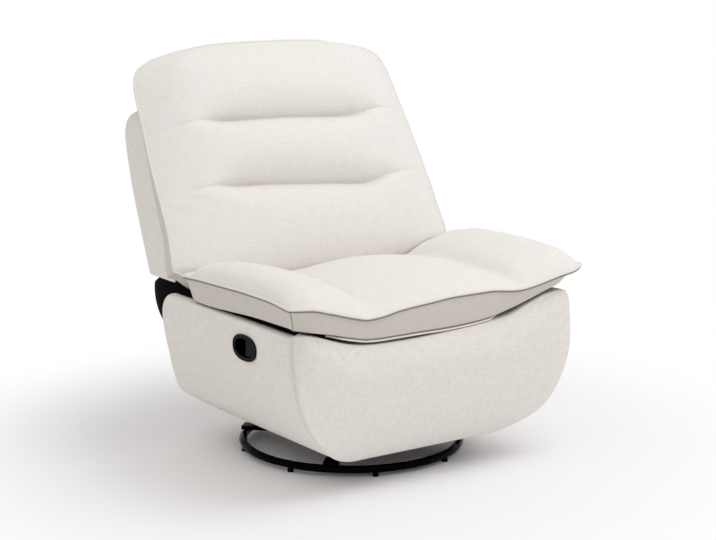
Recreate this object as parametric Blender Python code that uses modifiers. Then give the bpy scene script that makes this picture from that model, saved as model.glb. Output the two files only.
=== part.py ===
"""Swivel rocker recliner on a ring base, with a folding footrest and a reclining back.

Lengths are metres. +Z is up, the sitter faces -Y and the sitter's left is +X.
Every piece is laid out from the swivel axis where it meets the floor.
"""
import math

import bpy
import bmesh
from mathutils import Matrix, Vector

# Placement of the swivel axis, so that the whole chair is centred on the origin.
AXIS_Y = -0.050

# Clearances.
GAP = 0.0003
PIN_GAP = 0.0005
LAYER_GAP = 0.0005

# Ring base.
RING_OUTER_D = 0.560
RING_TUBE_R = 0.010
GLIDE_H = 0.0077
GLIDE_R = 0.0075
GLIDE_COUNT = 8
BAR_W = 0.038
BAR_T = 0.010
HUB_R = 0.068
BOLT_R = 0.008

# Swivel bearing.
RACE_INNER_R = 0.024
RACE_OUTER_R = 0.080
RACE_T = 0.006
BALL_PITCH_R = 0.060
BALL_R = 0.0048
BALL_COUNT = 12
BALL_SINK = 0.0008
CAGE_T = 0.003
PLATE_R = 0.095

# Rocking frame.
ROCK_Z = 0.132
ROCK_ROD_R = 0.008
ROCKER_HALF_X = 0.140
ROCKER_HALF_Y = 0.125
SHEET_T = 0.0045
YOKE_Z = 0.200
SPRING_X = 0.105
SPRING_Y = 0.095
SPRING_COIL_R = 0.020
SPRING_WIRE_R = 0.003
SPRING_TURNS = 5

# Upholstered body, a round-bottomed tub seen from the front.
BODY_HALF = 0.395
BODY_FLAT = 0.190
BODY_BOTTOM_Z = 0.066
BODY_TOP_Z = 0.400
SECTION_Z = 0.318
SECTION_POWER = 2.15
SIDE_T = 0.020
SIDE_REAR_Y = 0.262
SIDE_CORNER_R = 0.060
SEAM_TOP_Y = -0.328
SEAM_LOW_Y = -0.260
REAR_T = 0.018
REAR_TOP_Z = 0.278
REAR_TUCK = 0.001

# Footrest panel.
PANEL_MID_TOP_Z = 0.365
PANEL_SIDE_TOP_Z = 0.399
PANEL_DEPTH = 0.088
BOARD_T = 0.015
BOARD_HALF = 0.300

# Footrest linkage, drawn closed: drive link A-M, extension link M-B with a tail pin T.
LINK_T = 0.004
LINK_R = 0.011
PIN_R = 0.006
RAIL_X = 0.180
RAIL_T = 0.0045
LINK_A = (-0.147, 0.306)
DRIVE_L = 0.197
DRIVE_DEG = 295.2
DRIVE_TURN = 95.1
EXTEND_L = 0.219
EXTEND_DEG = 128.0
EXTEND_TURN = 58.5
TAIL_L = 0.080
TAIL_DEG = 333.0
FOLLOW_L = 0.040
FOLLOW_DEG = 114.8
TORQUE_R = 0.010

# Seat.
SEAT_RAIL_Z = 0.3353
SEAT_RAIL_H = 0.025
SEAT_FRONT_Y = -0.292
SEAT_REAR_Y = 0.130
SEAT_RAIL_W = 0.028
SEAT_SPRING_R = 0.0018
SEAT_SPRING_X = (-0.270, -0.090, 0.090, 0.270)
CUSHION_HALF = 0.429
CUSHION_FRONT_Y = -0.404
CUSHION_REAR_Y = 0.118
CUSHION_UNDER_Z = 0.372
CUSHION_DRAW = 0.935

# Back.
LEAN_DEG = 23.6
BACK_FOOT_Y = 0.149
BACK_FOOT_Z = 0.471
PAD_T = 0.066
PAD_ROLL = 0.020
CHANNEL_LOW = 0.178
CHANNEL_HIGH = 0.350
CHANNEL_DEEP = 0.068
PAD_LOW = -0.046
PAD_HIGH = 0.556
RECLINE_Y = 0.250
RECLINE_Z = 0.385
POST_T = 0.022
POST_W = 0.030
POST_TOP = 0.345
SHELL_T = 0.010
SKIRT_R = 0.100
SKIRT_HALF = 0.355

# Release handle on the sitter's right.
HANDLE_Y = -0.137
HANDLE_Z = 0.334
HANDLE_W = 0.100
HANDLE_H = 0.062
BEZEL_T = 0.003
BEZEL_LIP = 0.005
CUP_WALL = 0.004
CUP_DEPTH = 0.030

# Derived heights up the swivel.
RING_R = RING_OUTER_D / 2 - RING_TUBE_R
RING_Z = GLIDE_H + GAP + RING_TUBE_R
BAR_Z = RING_Z + RING_TUBE_R + GAP
RACE_Z = BAR_Z + BAR_T + GAP
BALL_Z = RACE_Z + RACE_T + BALL_R - BALL_SINK
PLATE_Z = RACE_Z + RACE_T + 2 * (BALL_R - BALL_SINK)
ROCKER_Z = PLATE_Z + RACE_T + GAP
NUT_Z = ROCKER_Z + SHEET_T + GAP

# Derived layers across the mechanism, from the rail inwards.
EXTEND_X = RAIL_X - LAYER_GAP - LINK_T
DRIVE_X = EXTEND_X - LAYER_GAP - LINK_T
FOLLOW_X = DRIVE_X - LAYER_GAP - LINK_T
BRACKET_X = RAIL_X + RAIL_T + LAYER_GAP
POST_X = BRACKET_X + RAIL_T + GAP

LEAN = math.radians(LEAN_DEG)


for item in list(bpy.data.objects):
    bpy.data.objects.remove(item, do_unlink=True)

chair = bpy.data.collections.new("swivel_rocker_recliner")
cutters = bpy.data.collections.new("shaping_tools")
bpy.context.scene.collection.children.link(chair)
bpy.context.scene.collection.children.link(cutters)


def finish(name, colour, roughness, metallic=0.0):
    """A Principled BSDF material."""
    made = bpy.data.materials.new(name)
    made.use_nodes = True
    shader = made.node_tree.nodes["Principled BSDF"]
    shader.inputs["Base Color"].default_value = (*colour, 1.0)
    shader.inputs["Roughness"].default_value = roughness
    shader.inputs["Metallic"].default_value = metallic
    return made


LINEN = finish("cream_linen", (0.75, 0.71, 0.64), 0.85)
BLACK_STEEL = finish("black_enamelled_steel", (0.012, 0.012, 0.013), 0.3)
ZINC_STEEL = finish("zinc_plated_steel", (0.55, 0.56, 0.58), 0.35, 1.0)
SPRING_STEEL = finish("spring_steel", (0.25, 0.25, 0.27), 0.4, 1.0)
TIMBER = finish("plywood", (0.55, 0.38, 0.22), 0.7)
BLACK_PLASTIC = finish("black_plastic", (0.015, 0.015, 0.016), 0.25)
BLACK_CLOTH = finish("black_lining_cloth", (0.01, 0.01, 0.011), 0.95)


def axis_at(name, place, parent=None):
    """An empty on a joint axis."""
    empty = bpy.data.objects.new(name, None)
    empty.empty_display_size = 0.05
    chair.objects.link(empty)
    empty.location = Vector(place) - (parent["spot"] if parent else Vector())
    empty.parent = parent["empty"] if parent else None
    return {"empty": empty, "spot": Vector(place)}


def turn(deg, length, start=(0.0, 0.0)):
    """The point at a length and angle from a start in the Y-Z plane."""
    a = math.radians(deg)
    return (start[0] + length * math.cos(a), start[1] + length * math.sin(a))


LINK_M = turn(DRIVE_DEG, DRIVE_L, LINK_A)
LINK_B = turn(EXTEND_DEG, EXTEND_L, LINK_M)
LINK_T_PIN = turn(TAIL_DEG, TAIL_L, LINK_M)
LINK_F = turn(FOLLOW_DEG, FOLLOW_L, LINK_M)
LINK_G = turn(EXTEND_DEG, EXTEND_L, LINK_F)

ROOT = axis_at("chair_base_frame", (0, 0, 0))
SWIVEL = axis_at("swivel_axis", (0, 0, PLATE_Z), ROOT)
CHASSIS = axis_at("rock_axis", (0, 0, ROCK_Z), SWIVEL)
DRIVE = axis_at("footrest_axis", (0, *LINK_A), CHASSIS)
EXTEND = axis_at("extension_axis", (0, *LINK_M), DRIVE)
FOLLOW = axis_at("follower_axis", (0, *LINK_F), DRIVE)
FOOTREST = axis_at("footrest_panel_axis", (0, *LINK_B), EXTEND)
BACK = axis_at("recline_axis", (0, RECLINE_Y, RECLINE_Z), CHASSIS)


def place(name, data, material, axis, collection=chair):
    """A named object whose data is drawn from the swivel axis, carried by a joint axis."""
    made = bpy.data.objects.new(name, data)
    collection.objects.link(made)
    made.parent = axis["empty"]
    made.location = -axis["spot"]
    if material:
        data.materials.clear()
        data.materials.append(material)
    if collection is cutters:
        made.hide_render = True
        made.display_type = "WIRE"
    return made


def from_bm(name, bm, material, axis, collection=chair):
    """An object from a finished bmesh, with its faces turned outwards."""
    bmesh.ops.recalc_face_normals(bm, faces=bm.faces)
    middle = sum((v.co for v in bm.verts), Vector()) / len(bm.verts)
    if sum(f.normal.dot(f.calc_center_median() - middle) * f.calc_area() for f in bm.faces) < 0:
        bmesh.ops.reverse_faces(bm, faces=bm.faces)
    data = bpy.data.meshes.new(name)
    bm.to_mesh(data)
    bm.free()
    return place(name, data, material, axis, collection)


def box(bm, low, high, frame=None):
    """A cuboid between two corners."""
    low, high = Vector(low), Vector(high)
    size = Matrix.Diagonal((*(high - low), 1.0))
    matrix = Matrix.Translation((low + high) / 2) @ size
    bmesh.ops.create_cube(bm, size=1.0, matrix=frame @ matrix if frame else matrix)


def rod(bm, start, end, radius, sides=16, radius_end=None):
    """A cylinder between two points."""
    start, end = Vector(start), Vector(end)
    spin = (end - start).to_track_quat("Z", "Y").to_matrix().to_4x4()
    bmesh.ops.create_cone(
        bm, cap_ends=True, segments=sides, radius1=radius,
        radius2=radius if radius_end is None else radius_end,
        depth=(end - start).length, matrix=Matrix.Translation((start + end) / 2) @ spin)


def combine(target, name, build, operation="UNION"):
    """Join or cut a target with a shape built on its own axis."""
    bm = bmesh.new()
    build(bm)
    axis = {"empty": target.parent, "spot": -target.location}
    tool = from_bm(name, bm, None, axis, cutters)
    step = target.modifiers.new(name, "BOOLEAN")
    step.operation = operation
    step.solver = "EXACT"
    step.object = tool
    return target


def use_tool(target, tool, operation):
    """Join or cut a target with a drawn tool, which is then put away."""
    chair.objects.unlink(tool)
    cutters.objects.link(tool)
    tool.hide_render = True
    tool.display_type = "WIRE"
    step = target.modifiers.new(tool.name, "BOOLEAN")
    step.operation = operation
    step.solver = "EXACT"
    step.object = tool


def soften(target, width, segments=2, angle=40):
    """Round the sharp edges."""
    step = target.modifiers.new("rounded_edges", "BEVEL")
    step.width = width
    step.segments = segments
    step.limit_method = "ANGLE"
    step.angle_limit = math.radians(angle)
    return target


def curve_mesh(curve, matrix):
    """A welded mesh from a curve."""
    holder = bpy.data.objects.new(curve.name, curve)
    cutters.objects.link(holder)
    bpy.context.view_layer.update()
    graph = bpy.context.evaluated_depsgraph_get()
    data = bpy.data.meshes.new_from_object(holder.evaluated_get(graph))
    bpy.data.objects.remove(holder, do_unlink=True)
    bm = bmesh.new()
    bm.from_mesh(data)
    bmesh.ops.remove_doubles(bm, verts=bm.verts, dist=1e-6)
    bmesh.ops.transform(bm, matrix=matrix, verts=bm.verts)
    return bm


ACROSS_X = Matrix(((0, 0, 1, 0), (1, 0, 0, 0), (0, 1, 0, 0), (0, 0, 0, 1)))


def sheet(name, outlines, low, high, material, axis, across="X"):
    """Flat outlines, the first filled and the others cut, with thickness along X or Z."""
    curve = bpy.data.curves.new(name, "CURVE")
    curve.dimensions = "2D"
    curve.fill_mode = "BOTH"
    curve.extrude = abs(high - low) / 2
    for points in outlines:
        spline = curve.splines.new("POLY")
        spline.points.add(len(points) - 1)
        for knot, (u, v) in zip(spline.points, points):
            knot.co = (u, v, 0.0, 1.0)
        spline.use_cyclic_u = True
    mid = (low + high) / 2
    if across == "X":
        matrix = Matrix.Translation((mid, 0, 0)) @ ACROSS_X
    else:
        matrix = Matrix.Translation((0, 0, mid))
    return from_bm(name, curve_mesh(curve, matrix), material, axis)


def wire(name, points, radius, material, axis, rings=1):
    """A round wire through points, with closed ends."""
    curve = bpy.data.curves.new(name, "CURVE")
    curve.dimensions = "3D"
    curve.bevel_depth = radius
    curve.bevel_resolution = rings
    curve.use_fill_caps = True
    spline = curve.splines.new("POLY")
    spline.points.add(len(points) - 1)
    for knot, p in zip(spline.points, points):
        knot.co = (*p, 1.0)
    return from_bm(name, curve_mesh(curve, Matrix.Identity(4)), material, axis)


def circle(centre, radius, sides=16):
    """A round outline."""
    steps = [2 * math.pi * k / sides for k in range(sides)]
    return [(centre[0] + radius * math.cos(a), centre[1] + radius * math.sin(a)) for a in steps]


def wrapped(lugs, sides=20):
    """The outline stretched around round lugs, each (y, z, radius)."""
    points = sorted(p for y, z, r in lugs for p in circle((y, z), r, sides))
    halves = []
    for run in (points, points[::-1]):
        edge = []
        for p in run:
            while len(edge) > 1:
                (ax, ay), (bx, by) = edge[-2], edge[-1]
                if (bx - ax) * (p[1] - ay) - (by - ay) * (p[0] - ax) > 1e-12:
                    break
                edge.pop()
            edge.append(p)
        halves.append(edge[:-1])
    return halves[0] + halves[1]


def rounded(corners, steps=4):
    """A polygon with filleted corners, each (u, v, radius)."""
    out = []
    count = len(corners)
    for k, (u, v, radius) in enumerate(corners):
        here = Vector((u, v))
        back = Vector(corners[k - 1][:2]) - here
        ahead = Vector(corners[(k + 1) % count][:2]) - here
        half = back.angle(ahead) / 2
        reach = min(radius / math.tan(half), 0.45 * back.length, 0.45 * ahead.length)
        radius = reach * math.tan(half)
        centre = here + (back.normalized() + ahead.normalized()).normalized() * radius / math.sin(half)
        first = here + back.normalized() * reach - centre
        swing = first.angle_signed(here + ahead.normalized() * reach - centre)
        for j in range(steps + 1):
            a = -swing * j / steps
            x = first.x * math.cos(a) - first.y * math.sin(a)
            y = first.x * math.sin(a) + first.y * math.cos(a)
            out.append((centre.x + x, centre.y + y))
    return out


def oval(centre, width, height, sides=28):
    """A full oval outline, flatter than an ellipse along its long sides."""
    out = []
    for k in range(sides):
        a = 2 * math.pi * k / sides
        c, s = math.cos(a), math.sin(a)
        u = math.copysign(abs(c) ** 0.85, c)
        v = math.copysign(abs(s) ** 0.85, s)
        out.append((centre[0] + width / 2 * u, centre[1] + height / 2 * v))
    return out


def along(knots, x):
    """A value read off straight lines between (x, value) knots."""
    if x <= knots[0][0]:
        return knots[0][1]
    for (x0, v0), (x1, v1) in zip(knots, knots[1:]):
        if x <= x1:
            return v0 + (v1 - v0) * (x - x0) / (x1 - x0)
    return knots[-1][1]


def stations(values):
    """Values spread over -1 to 1."""
    low, high = values[0], values[-1]
    return [2 * (v - low) / (high - low) - 1 for v in values]


def cage(us, vs, ws, where, skip=None):
    """A cube cut at stations along its three axes, with every corner moved to its place."""
    bm = bmesh.new()
    bmesh.ops.create_cube(bm, size=2.0)
    for axis, cuts in enumerate((us, vs, ws)):
        normal = Vector([1.0 if k == axis else 0.0 for k in range(3)])
        for cut in cuts[1:-1]:
            parts = bm.verts[:] + bm.edges[:] + bm.faces[:]
            bmesh.ops.bisect_plane(bm, geom=parts, dist=1e-7, plane_co=normal * cut, plane_no=normal)
    if skip:
        unwanted = [f for f in bm.faces if skip(f.calc_center_median())]
        bmesh.ops.delete(bm, geom=unwanted, context="FACES")
    for vert in bm.verts:
        vert.co = where(*vert.co)
    return bm


def smooth_form(name, bm, material, axis, level=1):
    """A soft form: the cage with one round of subdivision."""
    made = from_bm(name, bm, material, axis)
    step = made.modifiers.new("soft", "SUBSURF")
    step.levels = level
    step.render_levels = level
    return made


def turned(name, profile, material, axis, sides=32):
    """A ring turned about Z from a closed profile of (radius, z)."""
    bm = bmesh.new()
    verts = [bm.verts.new((r, 0.0, z)) for r, z in profile]
    loop = [bm.edges.new((a, b)) for a, b in zip(verts, verts[1:] + verts[:1])]
    bmesh.ops.spin(bm, geom=verts + loop, axis=(0, 0, 1), cent=(0, 0, 0),
                   angle=2 * math.pi, steps=sides, use_merge=True)
    bmesh.ops.remove_doubles(bm, verts=bm.verts, dist=1e-6)
    return from_bm(name, bm, material, axis)


def pins_on(target, label, side, pins):
    """Pins along X joined to a link, each (y, z, inner x, outer x)."""
    for k, (y, z, low, high) in enumerate(pins):
        combine(target, f"{label}_pin_{k + 1}",
                lambda bm: rod(bm, (side * low, y, z), (side * high, y, z), PIN_R))
    return target


# The ring base and its glides.
bpy.ops.mesh.primitive_torus_add(
    major_segments=56, minor_segments=8, major_radius=RING_R, minor_radius=RING_TUBE_R)
ring = bpy.context.object
ring_data = ring.data
bpy.data.objects.remove(ring, do_unlink=True)
ring_data.name = "base_ring"
ring_data.transform(Matrix.Translation((0, 0, RING_Z)))
place("base_ring", ring_data, BLACK_STEEL, ROOT)

for number in range(GLIDE_COUNT):
    angle = math.radians(22.5 + 360 * number / GLIDE_COUNT)
    gx, gy = RING_R * math.cos(angle), RING_R * math.sin(angle)
    shape = bmesh.new()
    rod(shape, (gx, gy, 0), (gx, gy, GLIDE_H), GLIDE_R, 12)
    from_bm(f"glide_{number + 1}", shape, BLACK_PLASTIC, ROOT)


def bar_frame(deg):
    """The turn of one bar of the cross."""
    return Matrix.Rotation(math.radians(deg), 4, "Z")


shape = bmesh.new()
box(shape, (-RING_R - 0.008, -BAR_W / 2, BAR_Z), (RING_R + 0.008, BAR_W / 2, BAR_Z + BAR_T), bar_frame(45))
cross = from_bm("base_cross", shape, BLACK_STEEL, ROOT)
combine(cross, "second_bar", lambda bm: box(
    bm, (-RING_R - 0.008, -BAR_W / 2, BAR_Z), (RING_R + 0.008, BAR_W / 2, BAR_Z + BAR_T), bar_frame(-45)))
combine(cross, "hub_disc", lambda bm: rod(bm, (0, 0, BAR_Z), (0, 0, BAR_Z + BAR_T), HUB_R, 32))
combine(cross, "bolt_hole", lambda bm: rod(
    bm, (0, 0, BAR_Z - 0.01), (0, 0, BAR_Z + BAR_T + 0.01), BOLT_R + PIN_GAP), "DIFFERENCE")
soften(cross, 0.0015, 1)

# The swivel: lower race, caged balls, upper race, bolt and nut.
groove = BALL_R + GAP


def groove_line(edge_z, upward):
    """The ball groove across a race, from the outside inwards."""
    depth = BALL_SINK + GAP
    half = math.sqrt(groove ** 2 - (groove - depth) ** 2)
    level = edge_z - depth if upward else edge_z + depth
    return [(BALL_PITCH_R + half, edge_z), (BALL_PITCH_R, level), (BALL_PITCH_R - half, edge_z)]


race_top = RACE_Z + RACE_T
turned("swivel_lower_race", [
    (RACE_INNER_R, RACE_Z), (RACE_OUTER_R, RACE_Z), (RACE_OUTER_R, race_top),
    *groove_line(race_top, True), (RACE_INNER_R, race_top)], ZINC_STEEL, ROOT)
turned("swivel_upper_race", [
    (RACE_INNER_R, PLATE_Z), *groove_line(PLATE_Z, False)[::-1], (PLATE_R, PLATE_Z),
    (PLATE_R, PLATE_Z + RACE_T), (RACE_INNER_R, PLATE_Z + RACE_T)], ZINC_STEEL, SWIVEL)

cage_half = 0.006
balls = turned("swivel_balls", [
    (BALL_PITCH_R - cage_half, BALL_Z - CAGE_T / 2), (BALL_PITCH_R + cage_half, BALL_Z - CAGE_T / 2),
    (BALL_PITCH_R + cage_half, BALL_Z + CAGE_T / 2), (BALL_PITCH_R - cage_half, BALL_Z + CAGE_T / 2)],
    SPRING_STEEL, ROOT, 28)


def all_balls(bm):
    """The balls around the pitch circle."""
    for k in range(BALL_COUNT):
        a = 2 * math.pi * k / BALL_COUNT
        spot = Matrix.Translation((BALL_PITCH_R * math.cos(a), BALL_PITCH_R * math.sin(a), BALL_Z))
        bmesh.ops.create_uvsphere(bm, u_segments=8, v_segments=5, radius=BALL_R, matrix=spot)


combine(balls, "bearing_balls", all_balls)

shape = bmesh.new()
rod(shape, (0, 0, BAR_Z - 0.0005), (0, 0, NUT_Z + 0.014), BOLT_R)
bolt = from_bm("swivel_bolt", shape, ZINC_STEEL, ROOT)
combine(bolt, "bolt_head", lambda bm: rod(bm, (0, 0, BAR_Z - 0.0085), (0, 0, BAR_Z - GAP), 0.0135, 6))
sheet("swivel_nut", [circle((0, 0), 0.0135, 6), circle((0, 0), BOLT_R + PIN_GAP)],
      NUT_Z, NUT_Z + 0.011, ZINC_STEEL, SWIVEL, "Z")

# The rocker base: a plate with two ears, carried by the swivel.
plate_outline = rounded([
    (-ROCKER_HALF_X, -ROCKER_HALF_Y, 0.02), (ROCKER_HALF_X, -ROCKER_HALF_Y, 0.02),
    (ROCKER_HALF_X, ROCKER_HALF_Y, 0.02), (-ROCKER_HALF_X, ROCKER_HALF_Y, 0.02)])
rocker = sheet("rocker_base", [plate_outline, circle((0, 0), BOLT_R + PIN_GAP)],
               ROCKER_Z, ROCKER_Z + SHEET_T, BLACK_STEEL, SWIVEL, "Z")
ear_in = ROCKER_HALF_X - SHEET_T


def ear(name, low, high, foot_z, head_z, half, hole):
    """A rounded ear across X with a hole on the rocking axis."""
    flat = [(-half, foot_z, 0.0005), (half, foot_z, 0.0005), (0.026, head_z, 0.02), (-0.026, head_z, 0.02)]
    return sheet(name, [rounded(flat), circle((0, ROCK_Z), hole)], low, high, None, CHASSIS)


def join_ears(target, label, low, foot_z, head_z, half, hole):
    """Two mirrored ears joined to a plate."""
    for sign in (1, -1):
        made = ear(f"{label}_{sign}", sign * low, sign * (low + SHEET_T), foot_z, head_z, half, hole)
        made.parent = target.parent
        made.location = target.location
        use_tool(target, made, "UNION")


join_ears(rocker, "rocker_ear", ear_in, ROCKER_Z + 0.001, ROCK_Z + 0.022, 0.060, ROCK_ROD_R + GAP)
for sx in (1, -1):
    for sy in (1, -1):
        combine(rocker, f"spring_boss_{sx}_{sy}", lambda bm: rod(
            bm, (sx * SPRING_X, sy * SPRING_Y, ROCKER_Z + 0.002),
            (sx * SPRING_X, sy * SPRING_Y, ROCKER_Z + SHEET_T + 0.008), SPRING_COIL_R - SPRING_WIRE_R - 0.001))

# The yoke: the rocking plate over the springs, hung on the same rod.
wing = RAIL_X - GAP
yoke_half = ROCKER_HALF_X + 0.012
yoke_outline = rounded([
    (-yoke_half, -0.125, 0.02), (yoke_half, -0.125, 0.02), (yoke_half, 0.046, 0.01), (wing, 0.046, 0.002),
    (wing, 0.125, 0.002), (-wing, 0.125, 0.002), (-wing, 0.046, 0.002), (-yoke_half, 0.046, 0.01)])
yoke_window = rounded([(-0.07, -0.065, 0.02), (0.07, -0.065, 0.02), (0.07, 0.065, 0.02), (-0.07, 0.065, 0.02)])
yoke = sheet("rocker_yoke", [yoke_outline, yoke_window], YOKE_Z, YOKE_Z + SHEET_T, BLACK_STEEL, CHASSIS, "Z")
join_ears(yoke, "yoke_ear", ROCKER_HALF_X + LAYER_GAP, ROCK_Z - 0.022, YOKE_Z + 0.002, 0.026, ROCK_ROD_R + PIN_GAP)
shape = bmesh.new()
rod_end = ROCKER_HALF_X + LAYER_GAP + SHEET_T + 0.006
rod(shape, (-rod_end, 0, ROCK_Z), (rod_end, 0, ROCK_Z), ROCK_ROD_R)
from_bm("rock_pivot_rod", shape, ZINC_STEEL, SWIVEL)

coil_low = ROCKER_Z + SHEET_T + SPRING_WIRE_R + GAP
coil_high = YOKE_Z - SPRING_WIRE_R - GAP


def coil(cx, cy):
    """A compression spring with closed end turns."""
    points = []
    steps = SPRING_TURNS * 9
    for k in range(steps + 1):
        a = 2 * math.pi * k / 9
        share = k / steps
        lift = min(1.0, max(0.0, (share - 0.16) / 0.68))
        points.append((cx + SPRING_COIL_R * math.cos(a), cy + SPRING_COIL_R * math.sin(a),
                       coil_low + 0.0065 * min(share, 0.16) / 0.16
                       + (coil_high - coil_low - 0.013) * lift
                       + 0.0065 * max(0.0, share - 0.84) / 0.16))
    return points


number = 0
for sx in (-1, 1):
    for sy in (-1, 1):
        number += 1
        wire(f"rock_spring_{number}", coil(sx * SPRING_X, sy * SPRING_Y), SPRING_WIRE_R, SPRING_STEEL, SWIVEL)

# The mechanism rails, with a curved slot that guides the tail of the extension link.
slot_line = []
for k in range(37):
    q = k / 36
    joint = turn(DRIVE_DEG - DRIVE_TURN * q, DRIVE_L, LINK_A)
    slot_line.append(Vector(turn(TAIL_DEG + EXTEND_TURN * q, TAIL_L, joint)))


def slot_outline(line, half):
    """A rounded slot around a path."""
    left, right = [], []
    for k, p in enumerate(line):
        run = (line[min(k + 1, len(line) - 1)] - line[max(k - 1, 0)]).normalized()
        side = Vector((-run.y, run.x)) * half
        left.append(p + side)
        right.append(p - side)
    caps = []
    for end, inner, spin in ((line[-1], left[-1], -1), (line[0], right[0], -1)):
        first = inner - end
        a = [math.pi * j / 8 * spin for j in range(1, 8)]
        caps.append([end + Vector((first.x * math.cos(t) - first.y * math.sin(t),
                                   first.x * math.sin(t) + first.y * math.cos(t))) for t in a])
    return [tuple(p) for p in left + caps[0] + right[::-1] + caps[1]]


rail_outline = rounded([
    (-0.288, 0.335, 0.012), (-0.278, 0.268, 0.03), (-0.236, 0.172, 0.10), (-0.155, 0.102, 0.08),
    (-0.072, 0.071, 0.06), (0.028, 0.071, 0.02), (0.040, 0.120, 0.03), (0.085, 0.185, 0.04),
    (0.170, 0.192, 0.04), (0.236, 0.330, 0.08), (0.266, 0.372, 0.016), (0.268, 0.402, 0.016),
    (0.234, 0.402, 0.016), (0.200, 0.335, 0.03)])
for label, side in (("left", 1), ("right", -1)):
    sheet(f"mech_rail_{label}", [
        rail_outline, circle(LINK_A, PIN_R + PIN_GAP), slot_outline(slot_line, PIN_R + PIN_GAP),
        circle((RECLINE_Y, RECLINE_Z), PIN_R + PIN_GAP)],
        side * RAIL_X, side * (RAIL_X + RAIL_T), BLACK_STEEL, CHASSIS)

    # The drive link, its pin in the rail.
    drive = sheet(f"drive_link_{label}", [
        wrapped([(*LINK_A, 0.014), (*LINK_M, LINK_R)]),
        circle(LINK_M, PIN_R + PIN_GAP), circle(LINK_F, PIN_R + PIN_GAP)],
        side * DRIVE_X, side * (DRIVE_X + LINK_T), ZINC_STEEL, DRIVE)
    pins_on(drive, f"drive_{label}", side, [(*LINK_A, DRIVE_X + 0.002, RAIL_X + RAIL_T - 0.0005)])

    # The extension link: pins inward at both joints, and outward at the tail.
    extend = sheet(f"extension_link_{label}", [
        wrapped([(*LINK_B, LINK_R), (*LINK_M, 0.013), (*LINK_T_PIN, LINK_R)])],
        side * EXTEND_X, side * (EXTEND_X + LINK_T), ZINC_STEEL, EXTEND)
    pins_on(extend, f"extension_{label}", side, [
        (*LINK_B, DRIVE_X - 0.0002, EXTEND_X + 0.002), (*LINK_M, DRIVE_X - 0.0002, EXTEND_X + 0.002),
        (*LINK_T_PIN, EXTEND_X + 0.002, RAIL_X + RAIL_T - 0.0005)])

    # The follower link keeps the panel turning with the drive link.
    follow = sheet(f"follower_link_{label}", [
        wrapped([(*LINK_F, LINK_R), (*LINK_G, LINK_R)])],
        side * FOLLOW_X, side * (FOLLOW_X + LINK_T), ZINC_STEEL, FOLLOW)
    pins_on(follow, f"follower_{label}", side, [
        (*LINK_F, FOLLOW_X + 0.002, DRIVE_X + LINK_T + 0.0002),
        (*LINK_G, FOLLOW_X + 0.002, DRIVE_X + LINK_T + 0.0002)])

shape = bmesh.new()
torque_end = DRIVE_X - GAP
rod(shape, (-torque_end, *LINK_A), (torque_end, *LINK_A), TORQUE_R)
from_bm("torque_tube", shape, ZINC_STEEL, DRIVE)
shape = bmesh.new()
rod(shape, (-wing, 0.145, 0.225), (wing, 0.145, 0.225), 0.011)
from_bm("cross_tube", shape, BLACK_STEEL, CHASSIS)


# The upholstered body.
def half_width(z):
    """Outer half width of the body at a height."""
    if z >= SECTION_Z:
        return BODY_HALF
    drop = min(1.0, (SECTION_Z - z) / (SECTION_Z - BODY_BOTTOM_Z))
    return BODY_FLAT + (BODY_HALF - BODY_FLAT) * (1 - drop ** SECTION_POWER) ** (1 / SECTION_POWER)


def section_point(v):
    """The body section from its top edge (0) round to the flat underside (1)."""
    upright = 0.24
    if v <= upright:
        return Vector((BODY_HALF, BODY_TOP_Z - (BODY_TOP_Z - SECTION_Z) * v / upright))
    a = (v - upright) / (1 - upright) * math.pi / 2
    power = 2 / SECTION_POWER
    return Vector((BODY_FLAT + (BODY_HALF - BODY_FLAT) * max(0.0, math.cos(a)) ** power,
                   SECTION_Z - (SECTION_Z - BODY_BOTTOM_Z) * math.sin(a) ** power))


def seam_y(z):
    """The leaning plane between the footrest panel and the sides."""
    return SEAM_TOP_Y + (SEAM_LOW_Y - SEAM_TOP_Y) * (BODY_TOP_Z - z) / (BODY_TOP_Z - BODY_BOTTOM_Z)


def side_rear_y(z):
    """The rear edge of a side panel, rounded off at the top."""
    over = z - (BODY_TOP_Z - SIDE_CORNER_R)
    if over <= 0:
        return SIDE_REAR_Y
    return SIDE_REAR_Y - SIDE_CORNER_R + math.sqrt(max(0.0, SIDE_CORNER_R ** 2 - over ** 2))


def side_point(sign):
    """Where a corner of the side panel's cage goes."""
    def where(u, v, w):
        share = (v + 1) / 2
        p = section_point(share)
        ahead, behind = section_point(min(1.0, share + 0.01)), section_point(max(0.0, share - 0.01))
        run = (ahead - behind).normalized()
        inward = Vector((run.y, -run.x))
        q = p + inward * (SIDE_T * (1 - w) / 2)
        front = seam_y(q.y) + GAP
        y = front + (side_rear_y(q.y) - front) * (u + 1) / 2
        return Vector((sign * q.x, y, q.y))
    return where


side_rows = [-1, -0.93, -0.72, -0.52, -0.3, -0.05, 0.2, 0.45, 0.7, 0.92, 1]
for label, side in (("left", 1), ("right", -1)):
    panel = smooth_form(f"side_panel_{label}", cage(
        [-1, -0.95, -0.3, 0.3, 0.9, 1], side_rows, [-1, 1], side_point(side)), LINEN, CHASSIS)
    if side < 0:
        hole = oval((HANDLE_Y, HANDLE_Z), HANDLE_W - 2 * BEZEL_LIP, HANDLE_H - 2 * BEZEL_LIP)
        cut = sheet("handle_hole", [hole], -BODY_HALF - 0.02, -BODY_HALF + SIDE_T + 0.02, None, CHASSIS)
        use_tool(panel, cut, "DIFFERENCE")


def rear_point(u, v, w):
    """Where a corner of the rear panel's cage goes."""
    z = BODY_BOTTOM_Z + (REAR_TOP_Z - BODY_BOTTOM_Z) * (v + 1) / 2
    shrink = 0.012 if w > 0 else 0.0
    y = SIDE_REAR_Y - REAR_TUCK + REAR_T * (w + 1) / 2
    return Vector((u * (half_width(z) - shrink), y, z))


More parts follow.
